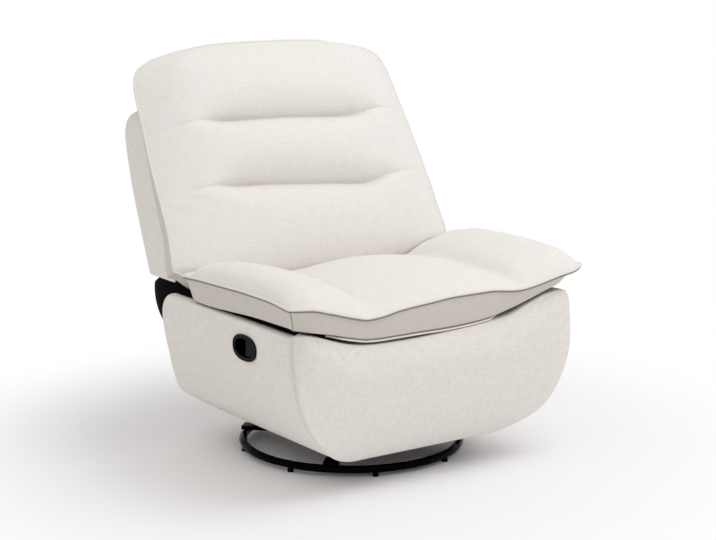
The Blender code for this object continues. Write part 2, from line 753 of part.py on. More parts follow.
smooth_form("rear_panel", cage([-1, -0.95, -0.4, 0.4, 0.95, 1], [-1, -0.9, -0.4, 0.2, 0.9, 1], [-1, 1], rear_point),
            LINEN, CHASSIS)


# The footrest panel: a padded front with its board and brackets.
def panel_top(x):
    """Top edge of the footrest panel across the chair."""
    return along([(0.0, PANEL_MID_TOP_Z), (0.2, PANEL_MID_TOP_Z), (0.3, PANEL_MID_TOP_Z + 0.018),
                  (0.38, PANEL_SIDE_TOP_Z)], abs(x))


def pad_point(u, v, w):
    """Where a corner of the footrest pad's cage goes."""
    top = panel_top(u * BODY_HALF)
    z = BODY_BOTTOM_Z + (top - BODY_BOTTOM_Z) * (v + 1) / 2
    x = u * half_width(z)
    back = seam_y(z) - GAP
    depth = along([(-1.0, 0.036), (-0.86, 0.062), (-0.5, 0.088), (0.2, PANEL_DEPTH), (0.8, 0.082), (1.0, 0.055)], v)
    depth *= along([(0.0, 1.0), (0.55, 1.0), (0.84, 0.98), (0.95, 0.90), (1.0, 0.62)], abs(u))
    depth += 0.018 * max(0.0, -v) * u * u
    return Vector((x, back - depth * (1 - w) / 2, z))


smooth_form("footrest_pad", cage(
    [-1, -0.95, -0.84, -0.5, 0, 0.5, 0.84, 0.95, 1], [-1, -0.88, -0.5, 0, 0.5, 0.88, 1], [-1, 1], pad_point),
    LINEN, FOOTREST)

lean_low, lean_high = 0.120, 0.352
shape = bmesh.new()
box(shape, (-1, -1, -1), (1, 1, 1))
for corner in shape.verts:
    u, w, v = corner.co
    z = lean_low + (lean_high - lean_low) * (v + 1) / 2
    reach = min(BOARD_HALF, half_width(lean_low) - 0.065) if v < 0 else BOARD_HALF
    corner.co = Vector((u * reach, seam_y(z) + GAP + BOARD_T * (w + 1) / 2, z))
from_bm("footrest_board", shape, TIMBER, FOOTREST)


def board_back(z):
    """The board's rear face."""
    return seam_y(z) + BOARD_T + 2 * GAP


bracket_outline = rounded([
    (board_back(0.325), 0.325, 0.002), (board_back(0.175), 0.175, 0.002), (board_back(0.175) + 0.018, 0.175, 0.01),
    (LINK_B[0] - 0.030, 0.250, 0.04), (LINK_B[0] + 0.012, LINK_B[1] - 0.012, 0.011),
    (LINK_B[0] + 0.012, LINK_B[1] + 0.010, 0.011), (LINK_G[0] + 0.011, LINK_G[1] + 0.006, 0.009),
    (LINK_G[0] - 0.004, LINK_G[1] + 0.011, 0.009), (LINK_G[0] - 0.030, 0.326, 0.02)])
for label, side in (("left", 1), ("right", -1)):
    bracket = sheet(f"footrest_bracket_{label}", [
        bracket_outline, circle(LINK_B, PIN_R + PIN_GAP), circle(LINK_G, PIN_R + PIN_GAP)],
        side * DRIVE_X, side * (DRIVE_X + LINK_T), ZINC_STEEL, FOOTREST)
    foot = rounded([
        (board_back(0.320), 0.320, 0.0005), (board_back(0.180), 0.180, 0.0005),
        (board_back(0.180) + LINK_T, 0.180, 0.0005), (board_back(0.320) + LINK_T, 0.320, 0.0005)], 1)
    flange = sheet(f"bracket_foot_{label}", [foot], side * (DRIVE_X - 0.026), side * (DRIVE_X + 0.002), None, FOOTREST)
    use_tool(bracket, flange, "UNION")

# The seat frame and its zigzag springs.
inner_half = BODY_HALF - SIDE_T - GAP
for label, y in (("front", SEAT_FRONT_Y), ("rear", SEAT_REAR_Y)):
    shape = bmesh.new()
    box(shape, (-inner_half, y, SEAT_RAIL_Z), (inner_half, y + SEAT_RAIL_W, SEAT_RAIL_Z + SEAT_RAIL_H))
    soften(from_bm(f"seat_{label}_rail", shape, TIMBER, CHASSIS), 0.002, 1)

spring_first = SEAT_FRONT_Y + 0.008
spring_last = SEAT_REAR_Y + SEAT_RAIL_W - 0.008
spring_low = SEAT_RAIL_Z + SEAT_RAIL_H + GAP + SEAT_SPRING_R
spring_rise = CUSHION_UNDER_Z - GAP - SEAT_SPRING_R - spring_low
for number, sx in enumerate(SEAT_SPRING_X):
    waves = 10
    points = [(sx - 0.022, spring_first, spring_low)]
    for k in range(2 * waves):
        for part in (0.25, 0.75):
            share = (k + part) / (2 * waves)
            sideways = 0.022 if k % 2 else -0.022
            y = spring_first + (spring_last - spring_first) * share
            arch = min(1.0, 4.5 * share * (1 - share))
            points.append((sx + sideways, y, spring_low + spring_rise * arch))
    points.append((sx + 0.022, spring_last, spring_low))
    wire(f"seat_spring_{number + 1}", points, SEAT_SPRING_R, SPRING_STEEL, CHASSIS, 0)


# The seat cushion: a middle lobe between two taller arm lobes, all one pillow.
def cushion_lip(x, y):
    """Height of the piped lip, which dips where the lobes meet and sinks behind the sitter."""
    front = along([(0.0, 0.453), (0.057, 0.452), (0.142, 0.447), (0.2, 0.4395), (0.217, 0.4385), (0.239, 0.4405),
                   (0.276, 0.448), (0.33, 0.461), (0.39, 0.4725), (0.425, 0.473)], x)
    side = along([(-0.365, 0.472), (-0.319, 0.4765), (-0.268, 0.479), (-0.183, 0.479), (-0.074, 0.4755),
                  (0.016, 0.4725), (0.091, 0.4675), (CUSHION_REAR_Y, 0.466)], y)
    rear = along([(0.0, 0.434), (0.05, 0.432), (0.1, 0.427), (0.2, 0.423), (0.25, 0.430), (0.277, 0.442),
                  (0.305, 0.455), (0.345, 0.464), (0.425, 0.466)], x)
    middle = along([(-0.1, front), (-0.045, front + (rear - front) * 0.16), (0.063, front + (rear - front) * 0.84),
                    (CUSHION_REAR_Y, rear)], y)
    outer = along([(CUSHION_FRONT_Y, front), (-0.30, side), (0.2, side)], y)
    return along([(0.36, middle), (0.405, outer)], x)


def cushion_crown(x):
    """Height of the crown across the seat."""
    return along([(0.0, 0.496), (0.08, 0.492), (0.14, 0.482), (0.18, 0.473), (0.212, 0.456), (0.245, 0.494),
                  (0.28, 0.505), (0.32, 0.519), (0.36, 0.528), (0.39, 0.521), (0.41, 0.508), (0.425, 0.473)], x)


def cushion_rise(x, y):
    """Share of the crown's height reached from the front lip to the rear."""
    front = [(CUSHION_FRONT_Y, 0.0), (-0.388, 0.26), (-0.362, 0.58), (-0.31, 0.92), (-0.2, 1.0)]
    middle = along(front + [(-0.10, 1.02), (-0.04, 0.88), (0.02, 0.58), (0.06, 0.34), (0.09, 0.17),
                            (CUSHION_REAR_Y, 0.0)], y)
    wing = along(front + [(-0.10, 0.96), (-0.04, 0.89), (0.02, 0.68), (0.06, 0.55), (0.09, 0.20),
                          (CUSHION_REAR_Y, 0.0)], y)
    return along([(0.19, middle), (0.25, wing)], x)


def cushion_under(x, y):
    """Underside: between the sides it sits low on the springs, and over them it is higher."""
    side = along([(-0.36, 0.424), (-0.33, 0.416), (-0.248, 0.4125), (-0.075, 0.407), (0.038, 0.4045),
                  (0.084, 0.4060), (0.107, 0.416), (CUSHION_REAR_Y, 0.432)], y)
    deep = along([(0.345, CUSHION_UNDER_Z), (0.372, 0.4045), (0.41, side)], x)
    front = along([(0.0, 0.375), (0.145, 0.378), (0.22, 0.387), (0.28, 0.400), (0.345, 0.417), (0.38, 0.425),
                   (0.425, 0.438)], x)
    return along([(CUSHION_FRONT_Y, front), (-0.345, max(front, deep)), (-0.300, deep), (0.2, deep)], y)


def cushion_point(u, v, w):
    """Where a corner of the seat cushion's cage goes."""
    x = u * CUSHION_HALF
    outside = max(0.0, (abs(x) - 0.36) / (CUSHION_HALF - 0.36)) ** 2
    corner = outside * (1 - v) / 2
    straight = CUSHION_FRONT_Y + (CUSHION_REAR_Y - CUSHION_FRONT_Y) * (v + 1) / 2
    y = straight + 0.030 * corner - 0.024 * outside * (1 + v) / 2
    lip = cushion_lip(abs(x), y)
    if w < 0:
        tuck = (0.012 + 0.020 * corner) * max(0.0, (-0.6 - v) / 0.4)
        return Vector((x * (CUSHION_DRAW - 0.020 * corner), y + tuck, cushion_under(abs(x), y)))
    return Vector((x, y, lip + max(0.0, cushion_crown(abs(x)) - lip) * cushion_rise(abs(x), straight)))


half_columns = [c / CUSHION_HALF for c in (0.08, 0.15, 0.188, 0.212, 0.238, 0.28, 0.33, 0.375, 0.405, CUSHION_HALF)]
columns = [-c for c in half_columns[::-1]] + [0.0] + half_columns
cushion_rows = stations([CUSHION_FRONT_Y, -0.390, -0.365, -0.310, -0.200, -0.080, 0.020, 0.070, 0.100, CUSHION_REAR_Y])
smooth_form("seat_cushion", cage(columns, cushion_rows, [-1, 1], cushion_point), LINEN, CHASSIS)


# The back: a channelled pad in front of a hollow shell, on two posts and brackets.
def on_back(x, t, n):
    """A point at x, at t up the back and n forward of its piped edge."""
    return Vector((x, BACK_FOOT_Y + t * math.sin(LEAN) - n * math.cos(LEAN),
                   BACK_FOOT_Z + t * math.cos(LEAN) + n * math.sin(LEAN)))


PAD_ROWS = [PAD_LOW, -0.022, 0.035, 0.105, 0.155, 0.168, CHANNEL_LOW, 0.192, 0.212, 0.262, 0.327, 0.340, CHANNEL_HIGH,
            0.364, 0.384, 0.435, 0.474, 0.514, 0.541, PAD_HIGH]


def pad_half(t):
    """Half width of the back pad, rounded over at the top corners."""
    return along([(PAD_LOW, 0.411), (0.0, 0.414), (0.1, 0.4065), (0.2, 0.403), (0.3, 0.3985), (0.4, 0.391),
                  (0.474, 0.386), (0.514, 0.372), (0.541, 0.335), (PAD_HIGH, 0.264)], t)


def pad_edge(t):
    """How far back the piped edge lies: the sides roll further back the higher they are."""
    return along([(PAD_LOW, 0.010), (0.1, 0.010), (0.2, 0.020), (0.3, 0.0325), (0.4, 0.044), (0.46, 0.052),
                  (0.5, 0.055), (0.53, 0.047), (PAD_HIGH, 0.034)], t)


def channel_line(u, low, high):
    """Height of a sewn channel's line across the pad, from its places at the left and right."""
    places = (-1.0, -0.94, -0.78, -0.52, 0.0, 0.52, 0.78, 0.94, 1.0)
    return along(list(zip(places, low + high)), u)


def pad_front(share, t):
    """How far the pad stands forward, with two channels between three pillows."""
    pillow = along([(PAD_LOW, 0.006), (-0.022, 0.022), (0.035, 0.040), (0.105, 0.042), (0.25, 0.040), (0.462, 0.040),
                    (0.511, 0.031), (0.541, 0.015), (PAD_HIGH, 0.0)], t)
    plain = along([(PAD_LOW, 0.006), (0.0, 0.028), (0.25, 0.029), (0.45, 0.027), (PAD_HIGH, 0.0)], t)
    ease = along([(0.0, 0.0), (0.5, 0.0), (0.95, 1.0)], share)
    fade = along([(0.0, 1.0), (0.52, 0.9), (0.78, 0.06), (0.94, 0.0)], share)
    for channel in (CHANNEL_LOW, CHANNEL_HIGH):
        pillow -= CHANNEL_DEEP * fade * along([(-0.050, 0.0), (-0.025, 0.08), (-0.010, 0.45), (0.0, 1.0), (0.014, 0.52),
                                               (0.034, 0.18), (0.080, 0.0)], t - channel)
    side = along([(0.0, 1.0), (0.55, 1.0), (0.78, 0.95), (0.94, 0.6), (1.0, 0.0)], share)
    back = along([(0.0, 0.0), (0.70, 0.0), (0.94, 0.86), (1.0, 1.0)], share)
    top_roll = PAD_ROLL * max(0.0, (t - 0.25) / (PAD_HIGH - 0.25)) ** 2
    return (pillow + (plain - pillow) * ease) * side - pad_edge(t) * back - top_roll * (1 - back)


def pad_rear(t):
    """The pad's rear face, thicker over the top of the shell."""
    return -along([(PAD_LOW, PAD_T), (0.435, PAD_T), (0.474, PAD_T + 0.030), (0.514, PAD_T + 0.042),
                   (0.541, PAD_T + 0.040), (PAD_HIGH, PAD_T + 0.024)], t)


def back_pad_point(u, v, w):
    """Where a corner of the back pad's cage goes."""
    t = PAD_LOW + (PAD_HIGH - PAD_LOW) * (v + 1) / 2
    rounding = 0.040 * max(0.0, (abs(u) - 0.86) / 0.14) * max(0.0, (0.07 - t) / (0.07 - PAD_LOW)) ** 2
    tilt = -0.006 * u * along([(0.25, 0.0), (0.50, 1.0)], t)
    if w < 0:
        draw = along([(PAD_LOW, 0.010), (0.0, 0.014), (0.1, 0.018), (0.35, 0.016), (0.46, 0.024), (PAD_HIGH, 0.028)], t)
        return on_back(u * (pad_half(t) - draw), t + rounding + tilt, pad_rear(t))
    low = channel_line(u, (0.1765, 0.181, 0.193, 0.1924), (0.1755, 0.163, 0.181, 0.1795, 0.177)) - CHANNEL_LOW
    high = channel_line(u, (0.3415, 0.343, 0.358, 0.3595), (0.3517, 0.3448, 0.3535, 0.349, 0.3475)) - CHANNEL_HIGH
    sag = along([(PAD_LOW, 0.0), (CHANNEL_LOW, low), (CHANNEL_HIGH, high), (PAD_HIGH, 0.0)], t)
    bend = 0.016 * abs(u) ** 2 * math.sin(math.pi * (v + 1) / 2)
    return on_back(u * pad_half(t), t + rounding + tilt + sag - bend, pad_front(abs(u), t))


smooth_form("back_cushion", cage([-1, -0.94, -0.78, -0.52, 0, 0.52, 0.78, 0.94, 1], stations(PAD_ROWS), [-1, 1],
                                 back_pad_point), LINEN, BACK)

SHELL_ROWS = [0.420, 0.445, 0.56, 0.68, 0.765, 0.808, 0.821]
SHELL_FRONT = PAD_T + 0.0028


def shell_rear(z):
    """The leaning rear face of the shell."""
    return 0.364 + (z - 0.416) * 0.410


def shell_point(u, v, w):
    """Where a corner of the hollow back shell's cage goes."""
    z = SHELL_ROWS[0] + (SHELL_ROWS[-1] - SHELL_ROWS[0]) * (v + 1) / 2
    t = (z + SHELL_FRONT * math.sin(LEAN) - BACK_FOOT_Z) / math.cos(LEAN)
    front = BACK_FOOT_Y + t * math.sin(LEAN) + SHELL_FRONT * math.cos(LEAN)
    rear = shell_rear(z)
    rear = along([(0.42, rear), (0.76, rear), (0.80, rear - 0.02), (0.821, rear - 0.055)], z)
    half = along([(0.42, 0.376), (0.60, 0.374), (0.72, 0.366), (0.80, 0.354), (0.821, 0.330)], z)
    y = front + (rear - front) * (w + 1) / 2
    return Vector((u * half * (1.0 if w < 0.9 else 0.985), y, z))


shell = smooth_form("back_shell", cage([-1, -0.9, -0.45, 0.45, 0.9, 1], stations(SHELL_ROWS), [-1, 0.62, 1],
                                       shell_point, lambda c: c.z < -0.999 or c.y < -0.999), LINEN, BACK)
wall = shell.modifiers.new("wall", "SOLIDIFY")
wall.thickness = SHELL_T
wall.offset = -1.0
wall.use_even_offset = True
wall.use_rim = True


def back_box(name, x, t, n, material):
    """A timber of the back frame, given as spans across, up and forward."""
    bm = bmesh.new()
    box(bm, (x[0], t[0], n[0]), (x[1], t[1], n[1]))
    for corner in bm.verts:
        corner.co = on_back(*corner.co)
    return soften(from_bm(name, bm, material, BACK), 0.002, 1)


post_n = (-PAD_T - GAP - POST_T, -PAD_T - GAP)
back_box("back_rail_top", (-POST_X + GAP, POST_X - GAP), (POST_TOP - 0.040, POST_TOP), post_n, TIMBER)
back_box("back_rail_low", (-BRACKET_X + GAP, BRACKET_X - GAP), (0.030, 0.070), post_n, TIMBER)
plate_n = -PAD_T - GAP - 0.0125
for label, side in (("left", 1), ("right", -1)):
    span = sorted((side * POST_X, side * (POST_X + POST_W)))
    back_box(f"back_post_{label}", span, (0.0, POST_TOP), post_n, TIMBER)
    feet = [on_back(0, t, plate_n) for t in (0.02, 0.22)]
    bracket = sheet(f"back_bracket_{label}", [wrapped([
        (RECLINE_Y, RECLINE_Z, 0.018), (feet[0].y, feet[0].z, 0.012), (feet[1].y, feet[1].z, 0.012)])],
        side * BRACKET_X, side * (BRACKET_X + RAIL_T), BLACK_STEEL, BACK)
    pins_on(bracket, f"back_{label}", side, [(RECLINE_Y, RECLINE_Z, RAIL_X + 0.0005, BRACKET_X + 0.002)])

arc = [math.radians(14 - 74 * k / 12) for k in range(13)]
skirt = [(RECLINE_Y + SKIRT_R * math.cos(a), RECLINE_Z + SKIRT_R * math.sin(a)) for a in arc]
inner = SKIRT_R - 0.004
skirt += [(RECLINE_Y + inner * math.cos(a), RECLINE_Z + inner * math.sin(a)) for a in arc[::-1]]
skirt_cloth = sheet("back_skirt", [skirt], -SKIRT_HALF, SKIRT_HALF, BLACK_CLOTH, BACK)


def tuck(z, inset):
    """A point just inside the shell's rear wall, where the skirt is stapled."""
    return (shell_rear(z) - SHELL_T * math.sqrt(1 + 0.410 ** 2) - GAP - inset, z)


hem = [skirt[-1], (skirt[0][0], skirt[0][1] - 0.002), tuck(0.424, 0.0), tuck(0.455, 0.0), tuck(0.455, 0.004),
       tuck(0.426, 0.004)]
use_tool(skirt_cloth, sheet("skirt_hem", [hem], -0.290, 0.290, None, BACK), "UNION")

# The release handle: an oval bezel with a finger cup, and a hinged pull in it.
face_x = BODY_HALF + GAP
neck_w = HANDLE_W - 2 * BEZEL_LIP - 2 * PIN_GAP
neck_h = HANDLE_H - 2 * BEZEL_LIP - 2 * PIN_GAP
cup_w = neck_w - 2 * CUP_WALL
cup_h = neck_h - 2 * CUP_WALL
spot = (HANDLE_Y, HANDLE_Z)
bezel = sheet("handle_bezel", [oval(spot, HANDLE_W, HANDLE_H)], -face_x - BEZEL_T, -face_x, BLACK_PLASTIC, CHASSIS)
neck = sheet("bezel_neck", [oval(spot, neck_w, neck_h)], -face_x - 0.001, -BODY_HALF + CUP_DEPTH, None, CHASSIS)
use_tool(bezel, neck, "UNION")
cup = sheet("finger_cup", [oval(spot, cup_w, cup_h)], -face_x - 0.02, -BODY_HALF + CUP_DEPTH - CUP_WALL, None, CHASSIS)
use_tool(bezel, cup, "DIFFERENCE")

hinge_x = -BODY_HALF + 0.0045
hinge_y = HANDLE_Y - cup_w / 2 + 0.010
PULL = axis_at("finger_pull_axis", (hinge_x, hinge_y, HANDLE_Z), CHASSIS)
pull_edge = HANDLE_Y + 0.006
paddle = [p for p in oval(spot, cup_w - 0.003, cup_h - 0.003, 32) if p[0] < pull_edge]
paddle.sort(key=lambda p: math.atan2(p[1] - HANDLE_Z, p[0] - pull_edge - 0.001) % (2 * math.pi))
pull = sheet("finger_pull", [paddle], hinge_x - 0.0025, hinge_x + 0.0025, BLACK_PLASTIC, PULL)
lean_in = abs((hinge_y - HANDLE_Y) / (cup_w / 2)) ** (1 / 0.85)
pin_half = cup_h / 2 * math.sqrt(1 - lean_in ** 2) ** 0.85 - 0.0022
combine(pull, "pull_pin", lambda bm: rod(
    bm, (hinge_x, hinge_y, HANDLE_Z - pin_half), (hinge_x, hinge_y, HANDLE_Z + pin_half), 0.0022, 10))

# The latch on the right-hand rail and the cable that reaches it from the handle.
latch_x = -RAIL_X - RAIL_T - GAP
shape = bmesh.new()
box(shape, (latch_x - 0.022, -0.135, 0.215), (latch_x, -0.085, 0.262))
soften(from_bm("latch_housing", shape, BLACK_PLASTIC, CHASSIS), 0.004, 2)
cable_start = Vector((-BODY_HALF + CUP_DEPTH + PIN_GAP, HANDLE_Y - 0.012, HANDLE_Z))
cable_end = Vector((latch_x - 0.022 - PIN_GAP, -0.110, 0.240))
cable = []
for k in range(9):
    share = k / 8
    ease = share * share * (3 - 2 * share)
    cable.append((cable_start.x + (cable_end.x - cable_start.x) * share,
                  cable_start.y + (cable_end.y - cable_start.y) * ease,
                  cable_start.z + (cable_end.z - cable_start.z) * ease))
wire("release_cable", cable, 0.0022, BLACK_PLASTIC, CHASSIS)

ROOT["empty"].location.y = AXIS_Y
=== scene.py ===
# %% [markdown]
# # A swivel rocker recliner in cream linen
# This lesson dresses a finished CAD frame. The steel base, the rocker, the folding
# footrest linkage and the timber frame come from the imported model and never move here.
# Everything sewn is made in this file: the seat cushion, the channelled back, the padded
# front, the side and rear covers, the welts along their seams and the black lining.

# %% The fixed frame
import math

import bmesh
import bpy
import numpy as np
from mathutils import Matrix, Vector


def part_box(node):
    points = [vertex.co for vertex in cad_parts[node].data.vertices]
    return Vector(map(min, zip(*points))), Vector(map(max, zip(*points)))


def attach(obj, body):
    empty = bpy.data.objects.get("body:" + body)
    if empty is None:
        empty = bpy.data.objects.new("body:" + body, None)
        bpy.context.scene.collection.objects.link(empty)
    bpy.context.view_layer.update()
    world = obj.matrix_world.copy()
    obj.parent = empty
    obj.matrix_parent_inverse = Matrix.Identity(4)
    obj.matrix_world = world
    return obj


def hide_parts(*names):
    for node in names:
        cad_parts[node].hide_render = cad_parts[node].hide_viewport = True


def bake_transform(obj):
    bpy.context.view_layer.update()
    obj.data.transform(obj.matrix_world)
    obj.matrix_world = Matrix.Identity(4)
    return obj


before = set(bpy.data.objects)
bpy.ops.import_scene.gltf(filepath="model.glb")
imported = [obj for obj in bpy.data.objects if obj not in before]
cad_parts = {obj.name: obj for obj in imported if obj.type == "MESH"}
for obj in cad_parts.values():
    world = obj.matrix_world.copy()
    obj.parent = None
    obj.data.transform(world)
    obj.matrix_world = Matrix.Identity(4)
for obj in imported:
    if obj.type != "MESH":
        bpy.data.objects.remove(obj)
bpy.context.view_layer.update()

ring_low, ring_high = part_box("base_ring")
SWIVEL_Y = (ring_low.y + ring_high.y) / 2
scene = bpy.context.scene


# %% [markdown]
# ## Tools of the bench
# A sewn cover is easiest to think of as a box of cloth whose six panels meet at seams.
# It could be sculpted by hand, but then nobody could change a size later. So one function
# lays a grid of quads over such a box and moves each corner to its place. It also keeps
# flat cloth coordinates in metres, panel by panel, the way the fabric was cut, so a weave
# runs true on each panel and breaks at the seams as it does when sewn.


# %% Curves through measured points
def smooth_curve(knots):
    """A smooth line through (x, value) knots that never swings past them."""
    x, y = np.array(knots, float).T
    step = np.diff(x)
    slope = np.diff(y) / step
    lean = np.zeros_like(y)
    lean[0], lean[-1] = slope[0], slope[-1]
    for k in range(1, len(x) - 1):
        if slope[k - 1] * slope[k] > 0:
            a, b = 2 * step[k] + step[k - 1], step[k] + 2 * step[k - 1]
            lean[k] = (a + b) / (a / slope[k - 1] + b / slope[k])

    def read(at):
        at = np.clip(at, x[0], x[-1])
        k = np.clip(np.searchsorted(x, at, side="right") - 1, 0, len(x) - 2)
        s = (at - x[k]) / step[k]
        rise = (3 - 2 * s) * s * s
        return (y[k] * (1 - rise) + y[k + 1] * rise
                + step[k] * (lean[k] * s * (1 - s) ** 2 - lean[k + 1] * s * s * (1 - s)))
    return read


def ease(low, high, at):
    """Rises smoothly from 0 at low to 1 at high."""
    s = np.clip((at - low) / (high - low), 0.0, 1.0)
    return s * s * (3 - 2 * s)


def spread(count, *finer):
    """Stations from -1 to 1, evenly spaced, with extra ones at (place, reach, spacing)."""
    found = list(np.linspace(-1, 1, count))
    for at, reach, gap in finer:
        found = [f for f in found if abs(f - at) > reach]
        found += list(np.arange(max(-1, at - reach), min(1, at + reach) + 1e-9, gap))
    return np.unique(np.round(found + [-1, 1], 5))


halfway = float(smooth_curve([(0, 0), (1, 1), (2, 1)])(0.5))
print("halfway to its second point the curve reads", round(halfway, 3))


# %% A mesh with flat cloth coordinates
def skin_piece(name, points, faces, cloth, outward=True):
    """A smooth skin with its cloth coordinates, its faces turned outward if that is asked."""
    mesh = bpy.data.meshes.new(name)
    mesh.from_pydata(points, [], faces)
    mesh.uv_layers.new(name="cloth").data.foreach_set("uv", np.array(cloth, np.float32).ravel())
    if outward:
        skin = bmesh.new()
        skin.from_mesh(mesh)
        bmesh.ops.recalc_face_normals(skin, faces=skin.faces)
        skin.to_mesh(mesh)
        skin.free()
    for face in mesh.polygons:
        face.use_smooth = True
    piece = bpy.data.objects.new(name, mesh)
    scene.collection.objects.link(piece)
    print(name, len(mesh.vertices), "corners", len(mesh.polygons), "faces")
    return piece


# %% A cover of six sewn panels
RIM = 0.999  # a station past this lies on the edge of its panel


def sewn_box(name, us, vs, ws, where, left_out=()):
    """A skin of quads over a box of stations. Returns the piece and each corner's (u, v, w)."""
    stations = (us, vs, ws)
    index, corners, panels = {}, [], []
    for axis in range(3):
        a, b = [k for k in range(3) if k != axis]
        for end in (0, len(stations[axis]) - 1):
            if (axis, 1 if end else -1) in left_out:
                continue
            panel = np.empty((len(stations[a]), len(stations[b])), int)
            for i in range(panel.shape[0]):
                for j in range(panel.shape[1]):
                    key = [0, 0, 0]
                    key[axis], key[a], key[b] = end, i, j
                    key = tuple(key)
                    if key not in index:
                        index[key] = len(corners)
                        corners.append([stations[k][key[k]] for k in range(3)])
                    panel[i, j] = index[key]
            panels.append(panel)
    corners = np.array(corners)
    points = np.stack(where(*corners.T), 1)
    points[:, 1] += SWIVEL_Y
    faces, cloth = [], []
    for panel in panels:
        grid = points[panel]
        across = np.zeros(panel.shape)
        across[1:] = np.cumsum(np.linalg.norm(np.diff(grid, axis=0), axis=2), 0)
        across -= across[panel.shape[0] // 2]
        along = np.zeros(panel.shape)
        along[:, 1:] = np.cumsum(np.linalg.norm(np.diff(grid, axis=1), axis=2), 1)
        for i in range(panel.shape[0] - 1):
            for j in range(panel.shape[1] - 1):
                ring = ((i, j), (i + 1, j), (i + 1, j + 1), (i, j + 1))
                faces.append([int(panel[r]) for r in ring])
                cloth += [(across[r], along[r]) for r in ring]
    return skin_piece(name, points.tolist(), faces, cloth), corners


def piped(corners):
    """Which corners lie on the piped seam round the top panel."""
    u, v, w = corners.T
    return ((np.abs(u) > RIM) | (np.abs(v) > RIM)) & (w > RIM)


# %% Filling a cover with air pressure
def points_of(piece):
    """The piece's own corners as an array."""
    flat = np.zeros(3 * len(piece.data.vertices), np.float32)
    piece.data.vertices.foreach_get("co", flat)
    return flat.reshape(-1, 3).astype(float)


FILL_FRAMES = 20


def fill(piece, held, pressure, most):
    """Swells a sewn cover by most metres at most. It stays put where held is 1."""
    start = points_of(piece)
    group = piece.vertex_groups.new(name="sewn_down")
    for k in np.nonzero(held > 0.001)[0]:
        group.add([int(k)], float(held[k]), "REPLACE")
    cloth = piece.modifiers.new("filling", "CLOTH")
    cloth.settings.quality = 6
    cloth.settings.mass = 0.25
    cloth.settings.tension_stiffness = 12
    cloth.settings.compression_stiffness = 12
    cloth.settings.shear_stiffness = 5
    cloth.settings.bending_stiffness = 0.4
    cloth.settings.use_pressure = True
    cloth.settings.uniform_pressure_force = pressure
    cloth.settings.vertex_group_mass = group.name
    cloth.settings.effector_weights.gravity = 0.0
    cloth.collision_settings.use_collision = False
    cloth.point_cache.frame_end = FILL_FRAMES
    for number in range(1, FILL_FRAMES + 1):
        scene.frame_set(number)
    swollen = piece.evaluated_get(bpy.context.evaluated_depsgraph_get()).data
    flat = np.zeros(3 * len(swollen.vertices), np.float32)
    swollen.vertices.foreach_get("co", flat)
    moved = flat.reshape(-1, 3).astype(float) - start
    piece.modifiers.remove(cloth)
    piece.vertex_groups.remove(group)
    scene.frame_set(1)
    reach = np.linalg.norm(moved, axis=1)
    moved *= (most * np.tanh(reach / most) / np.maximum(reach, 1e-9))[:, None]
    piece.data.vertices.foreach_set("co", (start + moved).astype(np.float32).ravel())
    piece.data.update()
    furthest = float(np.linalg.norm(moved, axis=1).max())
    print(piece.name, "swelled", round(1000 * furthest, 1), "mm at most")


def band(piece, corners, top_cloth, boxing_cloth, under_cloth):
    """Puts one cloth on top, another on the boxing that runs round it and a third underneath."""
    for cloth in (top_cloth, boxing_cloth, under_cloth):
        piece.data.materials.append(cloth)
    for face in piece.data.polygons:
        across, along, deep = corners[list(face.vertices)].mean(0)
        if abs(across) > RIM or abs(along) > RIM:
            face.material_index = 1
        elif deep < -RIM:
            face.material_index = 2


def soften(piece):
    """One round of subdivision, which turns the quads into a smooth skin."""
    step = piece.modifiers.new("smooth_skin", "SUBSURF")
    step.levels = 1
    step.render_levels = 1


# %% A welt along a seam
def swept(name, path, radius, closed, sides):
    """A round section swept along its points: the cord in a seam, or a spring's wire."""
    path = np.array(path, float)
    count = len(path)
    if closed:
        run = np.roll(path, -1, 0) - np.roll(path, 1, 0)
    else:
        run = np.gradient(path, axis=0)
    run /= np.linalg.norm(run, axis=1)[:, None]
    up = np.cross(run[0], (0.0, 0.0, 1.0))
    turn = np.linspace(0, 2 * math.pi, sides, endpoint=False)
    rings, lengths = [], [0.0]
    for k in range(count):
        up = up - run[k] * (up @ run[k])
        up /= np.linalg.norm(up)
        aside = np.cross(run[k], up)
        ring = np.outer(np.cos(turn), up) + np.outer(np.sin(turn), aside)
        rings.append(path[k] + radius * ring)
        lengths.append(lengths[-1] + float(np.linalg.norm(path[(k + 1) % count] - path[k])))
    faces, cloth = [], []
    for k in range(count if closed else count - 1):
        n = (k + 1) % count
        for s in range(sides):
            e = (s + 1) % sides
            faces.append([k * sides + s, k * sides + e, n * sides + e, n * sides + s])
            low, high = [2 * math.pi * radius * edge / sides for edge in (s, s + 1)]
            cloth += [(lengths[k], low), (lengths[k], high),
                      (lengths[k + 1], high), (lengths[k + 1], low)]
    if not closed:
        for ends in (list(range(sides))[::-1], list(range((count - 1) * sides, count * sides))):
            faces.append(ends)
            cloth += [(0.0, 0.0)] * sides
    print(name, "runs", round(lengths[-1] if closed else lengths[-2], 2), "m")
    return skin_piece(name, np.concatenate(rings).tolist(), faces, cloth)


def welt(name, path, radius, body, cloth, closed=True, sides=10):
    """The cloth-covered cord of a sewn seam, on the body that it moves with."""
    piece = swept(name, path, radius, closed, sides)
    piece.data.materials.append(cloth)
    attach(piece, body)


def seam_path(piece, corners, chosen, order):
    """The corners of a seam, in order along it."""
    picked = np.nonzero(chosen)[0]
    places = points_of(piece)[picked]
    return places[np.argsort(order(corners[picked]))]


def around(corners):
    """The angle of a seam corner round its panel, which puts a closed seam in order."""
    return np.arctan2(corners[:, 1], corners[:, 0])


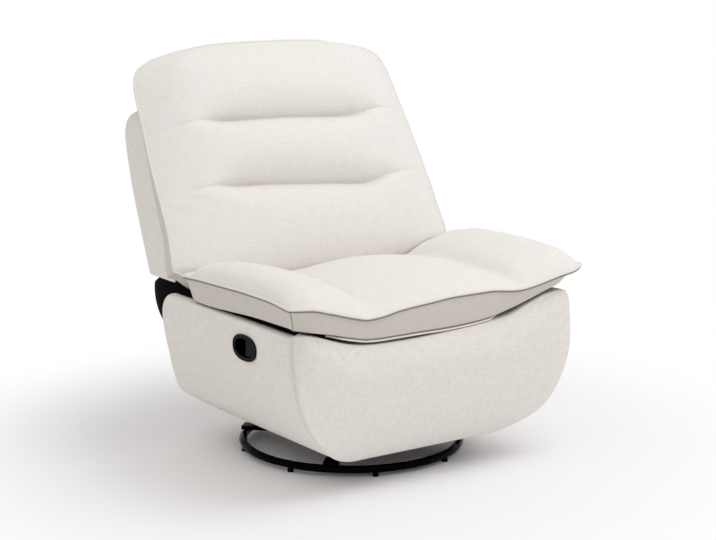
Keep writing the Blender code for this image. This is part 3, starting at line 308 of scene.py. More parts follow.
# %% [markdown]
# ## The finishes
# The cover is a linen-look polyester weave: cream yarns with slubs, matt, with a soft
# bloom at grazing angles. The base is enamelled steel, the levers and links are zinc
# plated, the latch is moulded ABS. Each finish starts from such a real material. A picture
# of cloth could be wrapped round instead, but noise and waves in millimetres stay sharp at
# any distance. One function adds a node with its settings and links, and colours are
# written as sRGB hex.


# %% Node and colour helpers
def linear(hex_colour):
    """An sRGB hex colour as linear RGBA."""
    parts = [int(hex_colour[k:k + 2], 16) / 255 for k in (1, 3, 5)]
    return [p / 12.92 if p <= 0.04045 else ((p + 0.055) / 1.055) ** 2.4 for p in parts] + [1.0]


def add_node(tree, kind, sockets=(), **settings):
    """A node with its settings, its socket values and its links."""
    node = tree.nodes.new(kind)
    for name, value in settings.items():
        setattr(node, name, value)
    for name, value in dict(sockets).items():
        if isinstance(value, bpy.types.NodeSocket):
            tree.links.new(value, node.inputs[name])
        else:
            node.inputs[name].default_value = value
    return node


def new_material(name):
    """An empty node material with its output."""
    material = bpy.data.materials.new(name)
    material.use_nodes = True
    material.node_tree.nodes.clear()
    out = add_node(material.node_tree, "ShaderNodeOutputMaterial")
    return material, material.node_tree, out


print("pale cream as linear light", [round(part, 3) for part in linear("#EFECE9")])

# %% Woven linen-look cloth
# Plain weave of slubbed yarn: matt, with fine cross-hatched streaks of lighter and darker
# cream, and a soft pale bloom where the surface turns away. Real yarns lie about 0.8 mm
# apart, too fine for the picture, so the weave is drawn at 3.2 mm. A wave node of scale s
# repeats every pi / 10 / s, which turns that spacing into its scale.
YARN_MM = 3.2
SLUB_LONG = 7  # a slub is this many times as long as it is wide


def woven_linen(name, light, dark, bump_mm, slub_mm=3.4):
    """Cloth between two creams, with slubs of a given width and a fine woven relief."""
    material, tree, out = new_material(name)
    cloth = add_node(tree, "ShaderNodeUVMap", uv_map="cloth")
    mm = add_node(tree, "ShaderNodeVectorMath", {0: cloth.outputs["UV"], "Scale": 1000.0},
                  operation="SCALE")
    streaks = []
    for wide, long in ((slub_mm * SLUB_LONG, slub_mm), (slub_mm, slub_mm * SLUB_LONG)):
        lie = add_node(tree, "ShaderNodeMapping", {
            "Vector": mm.outputs[0], "Scale": (1 / wide, 1 / long, 1.0)})
        streaks.append(add_node(tree, "ShaderNodeTexNoise", {
            "Vector": lie.outputs[0], "Scale": 1.0, "Detail": 2.0, "Roughness": 0.55},
            noise_dimensions="2D"))
    slub = add_node(tree, "ShaderNodeMix", {
        0: 0.5, "A": streaks[0].outputs[0], "B": streaks[1].outputs[0]}, data_type="FLOAT")
    weft, warp = [add_node(tree, "ShaderNodeTexWave", {
        "Vector": mm.outputs[0], "Scale": math.pi / 10 / YARN_MM, "Distortion": 1.2,
        "Detail": 1.0, "Detail Scale": 2.0}, bands_direction=run) for run in ("X", "Y")]
    weave = add_node(tree, "ShaderNodeMath", {0: weft.outputs[1], 1: warp.outputs[1]},
                     operation="MULTIPLY")
    tone = add_node(tree, "ShaderNodeMath", {0: weave.outputs[0], 1: 0.30, 2: slub.outputs[0]},
                    operation="MULTIPLY_ADD")
    colour = add_node(tree, "ShaderNodeMapRange", {
        "Value": tone.outputs[0], "From Min": 0.30, "From Max": 0.90, "To Min": 0.0, "To Max": 1.0})
    shade = add_node(tree, "ShaderNodeMix", {
        0: colour.outputs[0], "A": linear(dark), "B": linear(light)}, data_type="RGBA")
    relief = add_node(tree, "ShaderNodeMath", {0: weave.outputs[0], 1: 0.6, 2: slub.outputs[0]},
                      operation="MULTIPLY_ADD")
    bump = add_node(tree, "ShaderNodeBump", {
        "Height": relief.outputs[0], "Strength": 0.35, "Distance": bump_mm / 1000})
    skin = add_node(tree, "ShaderNodeBsdfPrincipled", {
        "Base Color": shade.outputs["Result"], "Roughness": 0.92, "IOR": 1.46,
        "Specular IOR Level": 0.25, "Sheen Weight": 0.10, "Sheen Roughness": 0.45,
        "Normal": bump.outputs[0]})
    tree.links.new(skin.outputs[0], out.inputs[0])
    print(name, "weave", YARN_MM, "mm")
    return material


# The seat and back have the calmest weave, and the body panels show more slub. The boxing
# cloth is darker as painted shade for the shadow of its lip. The cords are cut on the bias.
cream_linen = woven_linen("cream_linen_weave", "#EFECE9", "#E5E1DD", 0.4, 6.0)
body_linen = woven_linen("cream_linen_body_weave", "#F3EFEB", "#DFDAD4", 0.5, 4.4)
boxing_linen_painted_shade = woven_linen("cream_linen_boxing_painted_shade", "#D8D3CC", "#CBC5BD", 0.5)
welt_linen = woven_linen("cream_linen_bias_welt", "#EFEBE7", "#E3DDD8", 0.4)
# The taupe cord is painted shade: dark lines for the shadow under the seat's lip, in the gap at the
# boxing's foot and in the front corner seams.
taupe_welt_painted_shade = woven_linen("taupe_linen_painted_shade_welt", "#9A9088", "#857C74", 0.4)


# %% Painted and plated steel, timber, plastic and lining
def coated(name, hex_colour, roughness, metallic, grain_mm, relief_mm, uneven, shine=0.5):
    """A finish whose gloss is mottled by uneven, with a slight surface relief."""
    material, tree, out = new_material(name)
    place = add_node(tree, "ShaderNodeTexCoord")
    mottle = add_node(tree, "ShaderNodeTexNoise", {
        "Vector": place.outputs["Object"], "Scale": 1000 / grain_mm, "Detail": 3.0,
        "Roughness": 0.6})
    gloss = add_node(tree, "ShaderNodeMapRange", {
        "Value": mottle.outputs[0], "From Min": 0.3, "From Max": 0.7,
        "To Min": max(0.02, roughness - uneven), "To Max": roughness + uneven})
    shade = add_node(tree, "ShaderNodeHueSaturation", {"Color": linear(hex_colour)})
    value = add_node(tree, "ShaderNodeMapRange", {
        "Value": mottle.outputs[0], "From Min": 0.3, "From Max": 0.7, "To Min": 0.9, "To Max": 1.1})
    tree.links.new(value.outputs[0], shade.inputs["Value"])
    bump = add_node(tree, "ShaderNodeBump", {
        "Height": mottle.outputs[0], "Strength": 0.2, "Distance": relief_mm / 1000})
    skin = add_node(tree, "ShaderNodeBsdfPrincipled", {
        "Base Color": shade.outputs[0], "Roughness": gloss.outputs[0], "Metallic": metallic,
        "Specular IOR Level": shine, "Normal": bump.outputs[0]})
    tree.links.new(skin.outputs[0], out.inputs[0])
    return material


finish_of = {
    # Sprayed gloss enamel: deep black with sharp reflections and a faint orange peel.
    "black_steel": coated("gloss_black_enamelled_steel", "#020202", 0.16, 0.0, 6.0, 0.02, 0.04,
                          shine=0.02),
    # Bright zinc plating: a soft grey mirror with a fine mottle of crystals.
    "zinc_steel": coated("bright_zinc_plated_steel", "#B9BBBD", 0.34, 1.0, 2.5, 0.02, 0.10),
    # Oil-tempered wire: a dull brownish metal with a broad highlight.
    "spring_steel": coated("oil_tempered_spring_steel", "#5B5652", 0.42, 1.0, 3.0, 0.03, 0.08),
    # Moulded ABS: nearly black, with a soft grey sheen on the faces turned to the light.
    "black_plastic": coated("gloss_black_moulded_abs", "#040405", 0.28, 0.0, 1.2, 0.02, 0.05,
                            shine=0.05),
    # Bonded cambric: flat black and papery, without any gloss to speak of.
    "black_cloth": coated("black_nonwoven_cambric", "#17171A", 0.90, 0.0, 1.5, 0.25, 0.05),
    # Planed poplar: pale straw, matt, with a slow change of tone along the board.
    "timber": coated("planed_poplar", "#C9A878", 0.60, 0.0, 12.0, 0.2, 0.08),
}
print(len(finish_of), "finishes for the frame")

# %% [markdown]
# ## The frame's own finish
# The pressed steel, turned pins, seat springs and timber are already right in the CAD model,
# so they stay. Their meshes arrive as loose triangles: a weld joins them, a split at sharp
# edges keeps flat faces flat, and smooth shading makes the tubes and pins round.

# %% Dressing the CAD nodes
SHARP_EDGE = math.radians(38)
WELD_GAP = 1e-5
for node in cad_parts.values():
    kind = node.data.materials[0].name.split(".")[0] if node.data.materials else ""
    if kind not in finish_of:
        continue
    node.data.materials[0] = finish_of[kind]
    weld = node.modifiers.new("weld", "WELD")
    weld.merge_threshold = WELD_GAP
    split = node.modifiers.new("sharp_edges", "EDGE_SPLIT")
    split.split_angle = SHARP_EDGE
    for face in node.data.polygons:
        face.use_smooth = True
worn = {node.data.materials[0].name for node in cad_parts.values() if node.data.materials}
print("finishes on the frame", sorted(worn))

# %% [markdown]
# ## The rocking springs
# Four compression springs stand between the turning plate and the yoke that rocks above
# it. A spring's foot stays on the plate while its head goes with the yoke, so a rigid coil
# would be run through. Each coil is swept again along its helix, with closed end turns.

# %% Rocking springs
WIRE_R, SPRING_TURNS, STEPS_A_TURN = 0.003, 5, 18
END_SHARE, END_RISE = 0.16, 0.0065  # each end turn takes this share of the wire and climbs this
share = np.linspace(0, 1, SPRING_TURNS * STEPS_A_TURN + 1)
angle = 2 * math.pi * SPRING_TURNS * share
foot_turn = np.clip(share / END_SHARE, 0, 1)
head_turn = np.clip((share - (1 - END_SHARE)) / END_SHARE, 0, 1)
open_turns = np.clip((share - END_SHARE) / (1 - 2 * END_SHARE), 0, 1)
for number in (1, 2, 3, 4):
    low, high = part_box(f"rock_spring_{number}")
    middle, coil_r = (low + high) / 2, (high.x - low.x) / 2 - WIRE_R
    foot, head = low.z + WIRE_R, high.z - WIRE_R
    rise = (END_RISE * foot_turn + END_RISE * head_turn
            + (head - foot - 2 * END_RISE) * open_turns)
    helix = np.stack([middle.x + coil_r * np.cos(angle), middle.y + coil_r * np.sin(angle),
                      foot + rise], axis=1)
    spring = swept(f"rocking_spring_{number}", helix, WIRE_R, closed=False, sides=8)
    spring.data.materials.append(finish_of["spring_steel"])
    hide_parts(f"rock_spring_{number}")
    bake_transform(spring)

# %% [markdown]
# ## The seat cushion
# One big pillow: a middle lobe to sit on and two higher wings where armrests would be. A
# top panel meets a narrow boxing band at a piped edge that dips between the lobes, and the
# band draws in towards the body. Curves alone would give the right outline but a hard, turned
# look. So the panels start a little flat and are then filled with pressure, held at the
# seams, and the cloth crowns as a stuffed cover does.

# %% Seat cushion shape
# Read off the picture: the piped lip along the front dips where the lobes meet, the wings
# are broad domes that fall steeply to their lip, and the whole top sinks behind the sitter
# so that the back cushion comes down into it.
SEAT_HALF, SEAT_FRONT, SEAT_REAR = 0.4225, -0.398, 0.117
LOBE_VALLEY, VALLEY_REACH, VALLEY_HOLD = 0.212, 0.018, 0.35
CORNER_FROM, FRONT_ROUND, REAR_ROUND = 0.36, 0.030, 0.024  # outside this x the plan rounds off
TUCK_IN, TUCK_BACK = 0.062, 0.022      # the boxing's foot draws in: share of x, metres of y
CORNER_IN, CORNER_BACK = 0.020, 0.016  # and this much more at the front corners
FRONT_STRIP = -0.6                     # the part of the boxing that draws back, as a station
WING_X, LIP_X, FOOT_X = (0.19, 0.25), (0.35, 0.415), (0.35, 0.40)  # middle turns to side here
DIP_Y, LIP_Y = -0.10, -0.30            # the lip starts to sink here, and is a side lip from here
FOOT_RISE, FOOT_LEVEL = (-0.39, -0.345), (-0.345, -0.300)  # the underside levels off here
lip_front = smooth_curve([
    (-0.4225, 0.472), (-0.388, 0.473), (-0.328, 0.459), (-0.267, 0.441), (-0.226, 0.4325),
    (-0.191, 0.4345), (-0.142, 0.4425), (-0.057, 0.449), (0.022, 0.454), (0.118, 0.4535),
    (0.209, 0.4445), (0.239, 0.4465), (0.285, 0.454), (0.332, 0.463), (0.394, 0.471),
    (0.4225, 0.474)])
lip_side = smooth_curve([
    (-0.365, 0.472), (-0.319, 0.4765), (-0.268, 0.479), (-0.183, 0.479), (-0.074, 0.4755),
    (0.016, 0.4725), (0.091, 0.4675), (0.117, 0.466)])
lip_rear = smooth_curve([
    (0.0, 0.434), (0.05, 0.432), (0.1, 0.427), (0.2, 0.423), (0.25, 0.430), (0.277, 0.442),
    (0.305, 0.455), (0.345, 0.464), (0.4225, 0.466)])
lobes = smooth_curve([
    (0.0, 0.4915), (0.08, 0.4855), (0.14, 0.4755), (0.18, 0.4685), (0.212, 0.4600), (0.245, 0.4885),
    (0.28, 0.5015), (0.32, 0.5135), (0.36, 0.5215), (0.39, 0.5130), (0.41, 0.5000),
    (0.4225, 0.470)])
crown_front = [(-0.398, 0.0), (-0.380, 0.36), (-0.355, 0.63), (-0.31, 0.90), (-0.2, 1.0)]
middle_run = smooth_curve(crown_front + [
    (-0.10, 1.02), (-0.04, 0.87), (0.02, 0.57), (0.06, 0.33), (0.09, 0.17), (0.118, 0.0)])
wing_run = smooth_curve(crown_front + [
    (-0.10, 0.95), (-0.04, 0.885), (0.02, 0.67), (0.06, 0.54), (0.09, 0.16), (0.118, 0.0)])
foot_front = smooth_curve([
    (-0.4225, 0.4105), (-0.41, 0.4105), (-0.38, 0.4085), (-0.353, 0.404), (-0.285, 0.388),
    (-0.23, 0.3770), (-0.19, 0.3745), (-0.07, 0.374), (0.0, 0.373), (0.07, 0.3745), (0.145, 0.380),
    (0.22, 0.3945), (0.28, 0.410), (0.344, 0.428), (0.38, 0.437), (0.4225, 0.446)])
foot_side = smooth_curve([
    (-0.36, 0.4115), (-0.33, 0.4130), (-0.248, 0.4125), (-0.195, 0.412), (-0.075, 0.4064),
    (-0.008, 0.4024), (0.038, 0.4015), (0.084, 0.4030), (0.107, 0.414), (0.117, 0.4305)])
foot_inside = smooth_curve([
    (0.0, 0.3725), (0.345, 0.3725), (0.372, 0.4035), (0.40, 0.4060), (0.4225, 0.4070)])
print("seat", round(2 * SEAT_HALF, 3), "m wide,", round(SEAT_REAR - SEAT_FRONT, 3), "m deep")


# %% Seat cushion form
def seat_where(u, v, w):
    """From the underside (w = -1) to the crowned top (w = 1), front to rear along v."""
    x = u * SEAT_HALF
    a = np.abs(x)
    outside = np.clip((a - CORNER_FROM) / (SEAT_HALF - CORNER_FROM), 0, 1) ** 2
    corner = outside * (1 - v) / 2
    straight = SEAT_FRONT + (SEAT_REAR - SEAT_FRONT) * (v + 1) / 2
    y = straight + FRONT_ROUND * corner - REAR_ROUND * outside * (1 + v) / 2
    to_rear = ease(DIP_Y, SEAT_REAR, y)
    middle = lip_front(x) * (1 - to_rear) + lip_rear(a) * to_rear
    outer = lip_front(x) + (lip_side(y) - lip_front(x)) * ease(SEAT_FRONT, LIP_Y, y)
    lip = middle + (outer - middle) * ease(*LIP_X, a)
    run = middle_run(straight) + (wing_run(straight) - middle_run(straight)) * ease(*WING_X, a)
    top = lip + np.maximum(0.0, lobes(a) - lip) * run
    inside = foot_inside(a) + (foot_side(y) - foot_inside(a)) * ease(*FOOT_X, a)
    edge = foot_front(x)
    front = edge + (np.maximum(edge, inside) - edge) * ease(*FOOT_RISE, y)
    foot = front + (inside - front) * ease(*FOOT_LEVEL, y)
    share = (w + 1) / 2
    tuck = 0.45 * np.sqrt(np.maximum(0.0, 1 - share)) + 0.55 * (1 - share)
    x = x * (1 - tuck * (TUCK_IN + CORNER_IN * corner))
    in_front = np.clip((FRONT_STRIP - v) / (1 + FRONT_STRIP), 0, 1)
    y = y + tuck * (TUCK_BACK + CORNER_BACK * corner) * in_front
    return x, y, foot + (top - foot) * share


rows = np.linspace(-1, 1, 9)
seat_u = spread(85, (-0.97, 0.04, 0.012), (0.97, 0.04, 0.012))
seat_v = spread(53, (-0.96, 0.04, 0.016))
seat_cushion, seat_corners = sewn_box("seat_cushion_cover", seat_u, seat_v, rows, seat_where)

# %% Filling the seat
u, v, w = seat_corners.T
piped_edge = piped(seat_corners)
held = np.where((w < -RIM) | piped_edge | (v > RIM), 1.0, 0.0)
valley = np.exp(-((np.abs(u * SEAT_HALF) - LOBE_VALLEY) / VALLEY_REACH) ** 2) * (w > RIM)
held = np.maximum(held, VALLEY_HOLD * valley)
fill(seat_cushion, held, pressure=4.0, most=0.024)

# %% Seat finish
# The boxing band wears the darker cloth, painted shade for the shadow of the lip.
band(seat_cushion, seat_corners, cream_linen, boxing_linen_painted_shade, finish_of["black_cloth"])
soften(seat_cushion)
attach(seat_cushion, "chassis")
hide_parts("seat_cushion")
print("seat cushion wears", [cloth.name for cloth in seat_cushion.data.materials])

# %% Seat welts
# Under the cream cord of the lip runs a thinner taupe one, painted shade for the shadow line
# under the lip. A second pair follows the foot of the boxing across the front. Its taupe cord is
# painted shade for the gap there, and its ends tuck in behind the footrest pad.
LIP_CORD, LIP_LINE, FOOT_CORD, FOOT_LINE, CORNER_LINE = 0.0030, 0.0022, 0.0025, 0.0016, 0.0011
FOOT_FROM_U, FOOT_TO_U, END_TUCK, END_LONG = -0.82, 0.47, 0.016, 0.05
upper = seam_path(seat_cushion, seat_corners, piped_edge, around)
outward = upper - upper.mean(0)
outward[:, 2] = 0
outward /= np.linalg.norm(outward, axis=1)[:, None]
welt("seat_lip_welt", upper + [0, 0, -0.0005], LIP_CORD, "chassis", welt_linen)
under_lip = upper + outward * -0.0005 + [0, 0, -0.0052]
welt("seat_seam_welt", under_lip, LIP_LINE, "chassis", taupe_welt_painted_shade)
front_foot = (v < -RIM) & (w < -RIM) & (u > FOOT_FROM_U) & (u < FOOT_TO_U)
lower = seam_path(seat_cushion, seat_corners, front_foot, lambda picked: picked[:, 0])
to_ends = [ease(0.0, END_LONG, np.abs(lower[:, 0] - lower[end, 0])) for end in (0, -1)]
lower[:, 1] += END_TUCK * (1 - to_ends[0] * to_ends[1])
for name, drop, radius, cloth in (("seat_foot_seam_welt", 0.0008, FOOT_LINE, taupe_welt_painted_shade),
                                  ("seat_foot_welt", 0.0046, FOOT_CORD, welt_linen)):
    welt(name, lower + [0, 0.001, -drop], radius, "chassis", cloth, closed=False)
# The thin taupe cords in the front corner seams are painted shade for the crease there.
for label, side in (("right", -1), ("left", 1)):
    corner_seam = (v < -RIM) & (u * side > RIM)
    path = seam_path(seat_cushion, seat_corners, corner_seam, lambda picked: picked[:, 2])
    welt(f"seat_corner_seam_{label}", path, CORNER_LINE, "chassis", taupe_welt_painted_shade, closed=False,
         sides=6)

# %% [markdown]
# ## The back cushion
# A tall pad with three pillows between two sewn channels. The stitching is deepest in the
# middle, where it pulls the cover to the backing, and dies out towards the piped edge. Three
# separate pillows would leave gaps where the real cover runs through. So it is one cover,
# with its channels held down while the pressure fills the rest.

# %% Back cushion shape
# Read off the picture: the sewn channels sag to one side as real ones do, they are deep in
# the middle third and go on to the edges as faint lines. The sides roll further back the
# higher they are, and the boxing draws in behind the piped edge.
LEAN = math.radians(23.6)
BACK_FOOT_Y, BACK_FOOT_Z = 0.149, 0.471
PAD_LOW, PAD_HIGH, PAD_T = -0.046, 0.553, 0.066
CHANNELS = (0.178, 0.350)
CHANNEL_DEEP, CHANNEL_FADE = 0.049, 0.047  # depth in the middle, and how much fades to the sides
STITCH = 0.0035                            # depth and half width of the sewn line at the sides
HEAD_FROM, HEAD_BACK = 0.25, 0.020         # above this the pad's face lies back by up to this
FOOT_FROM, FOOT_ROUND = 0.07, 0.040        # below this the bottom corners are rounded off
SIDE_DROOP, TOP_DROOP = 0.016, 0.006       # the cover droops towards its sides and top corners
LOPSIDED, TOP_CROWN = 0.006, 0.0035        # one top corner stands higher, the middle highest
HEM_DEEP, BELLY = 0.010, 0.003             # the boxing's rear hem, and its bulge between seams
low_line = smooth_curve([
    (-0.41, 0.1765), (-0.369, 0.1824), (-0.319, 0.1928), (-0.257, 0.1945), (-0.208, 0.1924),
    (-0.13, 0.1871), (-0.044, 0.1795), (0.045, 0.1717), (0.135, 0.1642), (0.193, 0.1605),
    (0.223, 0.1659), (0.28, 0.1766), (0.30, 0.1805), (0.344, 0.1809), (0.41, 0.1769)])
high_line = smooth_curve([
    (-0.40, 0.3415), (-0.377, 0.3427), (-0.358, 0.3507), (-0.345, 0.3538), (-0.303, 0.3588),
    (-0.24, 0.3612), (-0.17, 0.3576), (0.0, 0.3517), (0.17, 0.3439), (0.20, 0.3438), (0.24, 0.3489),
    (0.30, 0.3539), (0.333, 0.3519), (0.40, 0.3475)])
pad_half = smooth_curve([
    (-0.046, 0.408), (0.0, 0.411), (0.1, 0.4035), (0.2, 0.400), (0.3, 0.3955), (0.4, 0.387),
    (0.46, 0.3825), (0.5, 0.371), (0.53, 0.334), (0.545, 0.278), (0.553, 0.225)])
pad_body = smooth_curve([
    (-0.046, 0.004), (-0.022, 0.020), (0.03, 0.034), (0.10, 0.036), (0.25, 0.034), (0.44, 0.034),
    (0.47, 0.034), (0.511, 0.026), (0.538, 0.012), (0.553, 0.0)])
plain_front = smooth_curve([
    (-0.046, 0.004), (0.0, 0.024), (0.25, 0.025), (0.45, 0.023), (0.52, 0.015), (0.553, 0.0)])
pad_side = smooth_curve([
    (0.0, 1.0), (0.55, 1.0), (0.78, 0.94), (0.93, 0.62), (0.98, 0.25), (1.0, 0.0)])
edge_back = smooth_curve([
    (-0.046, 0.010), (0.0, 0.009), (0.1, 0.010), (0.2, 0.020), (0.3, 0.0325), (0.4, 0.044),
    (0.46, 0.052), (0.5, 0.055), (0.53, 0.047), (0.553, 0.034)])
pad_depth = smooth_curve([
    (-0.046, 0.066), (0.435, 0.066), (0.474, 0.092), (0.514, 0.104), (0.538, 0.102),
    (0.553, 0.088)])
boxing_draw = smooth_curve([
    (-0.046, 0.012), (0.0, 0.016), (0.1, 0.020), (0.35, 0.018), (0.46, 0.026), (0.553, 0.030)])
groove = smooth_curve([
    (-0.050, 0.0), (-0.030, 0.04), (-0.016, 0.20), (-0.007, 0.58), (0.0, 1.0), (0.008, 0.62),
    (0.020, 0.31), (0.042, 0.10), (0.072, 0.0)])
print("pad", round(PAD_HIGH - PAD_LOW, 3), "m long, leaning", round(math.degrees(LEAN), 1))


# %% Back cushion form
def on_back(x, t, n):
    """A point at x, at t up the leaning back and n forward of its piped edge."""
    return (x, BACK_FOOT_Y + t * math.sin(LEAN) - n * math.cos(LEAN),
            BACK_FOOT_Z + t * math.cos(LEAN) + n * math.sin(LEAN))


def back_where(u, v, w):
    """From the boxing's rear hem (w = -1) to the pad's face (w = 1), foot to top along v."""
    t = PAD_LOW + (PAD_HIGH - PAD_LOW) * (v + 1) / 2
    side = np.abs(u)
    share = (w + 1) / 2
    front = pad_body(t) + (plain_front(t) - pad_body(t)) * ease(0.48, 0.92, side)
    channel_deep = CHANNEL_DEEP - CHANNEL_FADE * ease(0.40, 0.76, side)
    for channel in CHANNELS:
        front = front - groove(t - channel) * channel_deep * (1 - ease(0.90, 0.99, side))
        stitched = np.exp(-((t - channel) / STITCH) ** 2)
        stitched = stitched * ease(0.42, 0.60, side) * (1 - ease(0.95, 0.99, side))
        front = front - STITCH * stitched
    away = ease(0.70, 1.0, side)
    front = front * pad_side(side) - edge_back(t) * away
    head = np.clip((t - HEAD_FROM) / (PAD_HIGH - HEAD_FROM), 0, 1)
    front = front - HEAD_BACK * head ** 2 * (1 - away)
    rear = -pad_depth(t) - HEM_DEEP * ease(0.94, 1.0, side) * (1 - ease(0.40, 0.46, t))
    x = u * (pad_half(t) - boxing_draw(t) * (1 - share))
    low, high = CHANNELS
    near_low = ease(PAD_LOW, low, t) * (1 - ease(low, high, t))
    near_high = ease(low, high, t) * (1 - ease(high, PAD_HIGH, t))
    sag = (low_line(x) - low) * near_low + (high_line(x) - high) * near_high
    bend = SIDE_DROOP * u * u * np.sin(np.pi * (v + 1) / 2)
    bend = bend + TOP_DROOP * side ** 3 * ease(0.50, PAD_HIGH, t)
    foot = np.clip((FOOT_FROM - t) / (FOOT_FROM - PAD_LOW), 0, 1)
    rounding = FOOT_ROUND * ease(0.86, 1.0, side) * foot ** 2
    tilt = -LOPSIDED * u * ease(0.25, 0.50, t)
    tilt = tilt + TOP_CROWN * (1 - u * u) * ease(0.45, PAD_HIGH, t)
    belly = BELLY * 4 * share * (1 - share)
    x = x + belly * np.sign(u) * (side > RIM)
    up = t + rounding + tilt + (sag - bend) * share + belly * (v > RIM)
    return on_back(x, up, rear + (front - rear) * share)


def up_the_pad(t):
    """The station of a height up the leaning pad."""
    return 2 * (t - PAD_LOW) / (PAD_HIGH - PAD_LOW) - 1


back_v = spread(66, *[(up_the_pad(t), 0.06, 0.008) for t in CHANNELS], (0.97, 0.03, 0.012))
back_u = spread(81, (-0.975, 0.03, 0.01), (0.975, 0.03, 0.01))
back_cushion, back_corners = sewn_box("back_cushion_cover", back_u, back_v, rows, back_where)

# %% Filling the back
STITCH_REACH, STITCH_FADE = 0.004, 0.6
u, v, w = back_corners.T
t = PAD_LOW + (PAD_HIGH - PAD_LOW) * (v + 1) / 2
piped_edge = piped(back_corners)
held = np.where((w < -RIM) | piped_edge | (v < -RIM), 1.0, 0.0)
fading = 1 - STITCH_FADE * ease(0.50, 0.74, np.abs(u))
for channel in CHANNELS:
    stitched = np.exp(-((t - channel) / STITCH_REACH) ** 2) * (w > RIM) * fading
    held = np.maximum(held, stitched)
fill(back_cushion, held, pressure=4.0, most=0.022)

# %% Back welt and finish
# The back's boxing and rear hem wear the same darker cloth, painted shade for the shadow there.
band(back_cushion, back_corners, cream_linen, boxing_linen_painted_shade, boxing_linen_painted_shade)
soften(back_cushion)
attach(back_cushion, "backrest")
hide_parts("back_cushion")
back_edge = seam_path(back_cushion, back_corners, piped_edge, around)
welt("back_edge_welt", back_edge, LIP_CORD, "backrest", welt_linen)

# %% [markdown]
# ## The back shell
# Behind the pad a thin padded shell wraps the back frame, open at the front and at the
# bottom. Its cover is pulled tight over a board, so it gets no filling: a dense skin with a
# wall thickness and rounded rear corners is what the real one looks like.

# %% Back shell
SHELL_LOW, SHELL_HIGH, SHELL_CORNER, SHELL_WALL = 0.420, 0.819, 0.030, 0.009
SHELL_REAR_Y, SHELL_REAR_Z, SHELL_SLOPE = 0.356, 0.416, 0.417  # its rear leans through this point
SHELL_FRONT = PAD_T + 0.0145
shell_half = smooth_curve([
    (0.42, 0.3755), (0.60, 0.3735), (0.72, 0.3655), (0.78, 0.356), (0.806, 0.341), (0.819, 0.315)])
shell_roll = smooth_curve([(0.42, 0.0), (0.74, 0.0), (0.79, 0.014), (0.808, 0.030), (0.819, 0.058)])


def shell_where(u, v, w):
    """From the open front (w = -1) to the leaning rear (w = 1), bottom to top along v."""
    z = SHELL_LOW + (SHELL_HIGH - SHELL_LOW) * (v + 1) / 2
    t = (z + SHELL_FRONT * math.sin(LEAN) - BACK_FOOT_Z) / math.cos(LEAN)
    front = BACK_FOOT_Y + t * math.sin(LEAN) + SHELL_FRONT * math.cos(LEAN)
    rear = SHELL_REAR_Y + (z - SHELL_REAR_Z) * SHELL_SLOPE - shell_roll(z)
    share = (w + 1) / 2
    depth = rear - front
    half = shell_half(z)
    reach = np.clip((share * depth - (depth - SHELL_CORNER)) / SHELL_CORNER, 0, 1)
    x = u * (half - SHELL_CORNER * (1 - np.sqrt(1 - reach ** 2)) * 0.9)
    from_side = np.clip((np.abs(u) * half - (half - SHELL_CORNER)) / SHELL_CORNER, 0, 1)
    rounding = SHELL_CORNER * (1 - np.sqrt(1 - from_side ** 2)) * 0.25 * (share > RIM)
    return x, front + depth * share - rounding, z


shell_u = spread(61, (-0.96, 0.04, 0.01), (0.96, 0.04, 0.01))
shell_w = spread(9, (0.8, 0.2, 0.04))
open_front, open_bottom = (2, -1), (1, -1)
back_shell, _ = sewn_box("back_shell_cover", shell_u, spread(45), shell_w, shell_where,
                         left_out=(open_front, open_bottom))
back_shell.data.materials.append(body_linen)
wall = back_shell.modifiers.new("wall", "SOLIDIFY")
wall.thickness = SHELL_WALL
wall.offset = -1.0
soften(back_shell)
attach(back_shell, "backrest")
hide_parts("back_shell")

# %% [markdown]
# ## The body: sides, rear and front
# The body is a boat-shaped bucket. Each side is a padded panel that runs down and tucks
# under in one curve. The front is the footrest itself, a deep pad that closes the bucket.
# The edges of both are rolled over, so a narrow shaded groove shows where they meet. A
# bevelled box would do for the outline, but a formula for the section lets the sides, the
# rear and the front share one curve, so they meet exactly.

# %% The section of the bucket
BODY_HALF, BODY_FLAT, BODY_LOW, BODY_TOP = 0.395, 0.190, 0.066, 0.3975
SECTION_Z, SECTION_POWER = 0.318, 1.9
SIDE_T, SIDE_REAR, SIDE_CORNER = 0.020, 0.262, 0.060
BOARD_TOP, BOARD_LOW = -0.328, -0.260
UPRIGHT = 0.24  # the share of the section that runs straight down from the top edge


def half_width(z):
    """Half the body's width at a height."""
    drop = np.clip((SECTION_Z - z) / (SECTION_Z - BODY_LOW), 0, 1)
    return BODY_FLAT + (BODY_HALF - BODY_FLAT) * (1 - drop ** SECTION_POWER) ** (1 / SECTION_POWER)


def section(share):
    """The body's outline from its top edge (0) round to the flat underside (1)."""
    a = np.clip((share - UPRIGHT) / (1 - UPRIGHT), 0, 1) * math.pi / 2
    power = 2 / SECTION_POWER
    x = BODY_FLAT + (BODY_HALF - BODY_FLAT) * np.maximum(0.0, np.cos(a)) ** power
    z = np.where(share <= UPRIGHT, BODY_TOP - (BODY_TOP - SECTION_Z) * share / UPRIGHT,
                 SECTION_Z - (SECTION_Z - BODY_LOW) * np.sin(a) ** power)
    return x, z


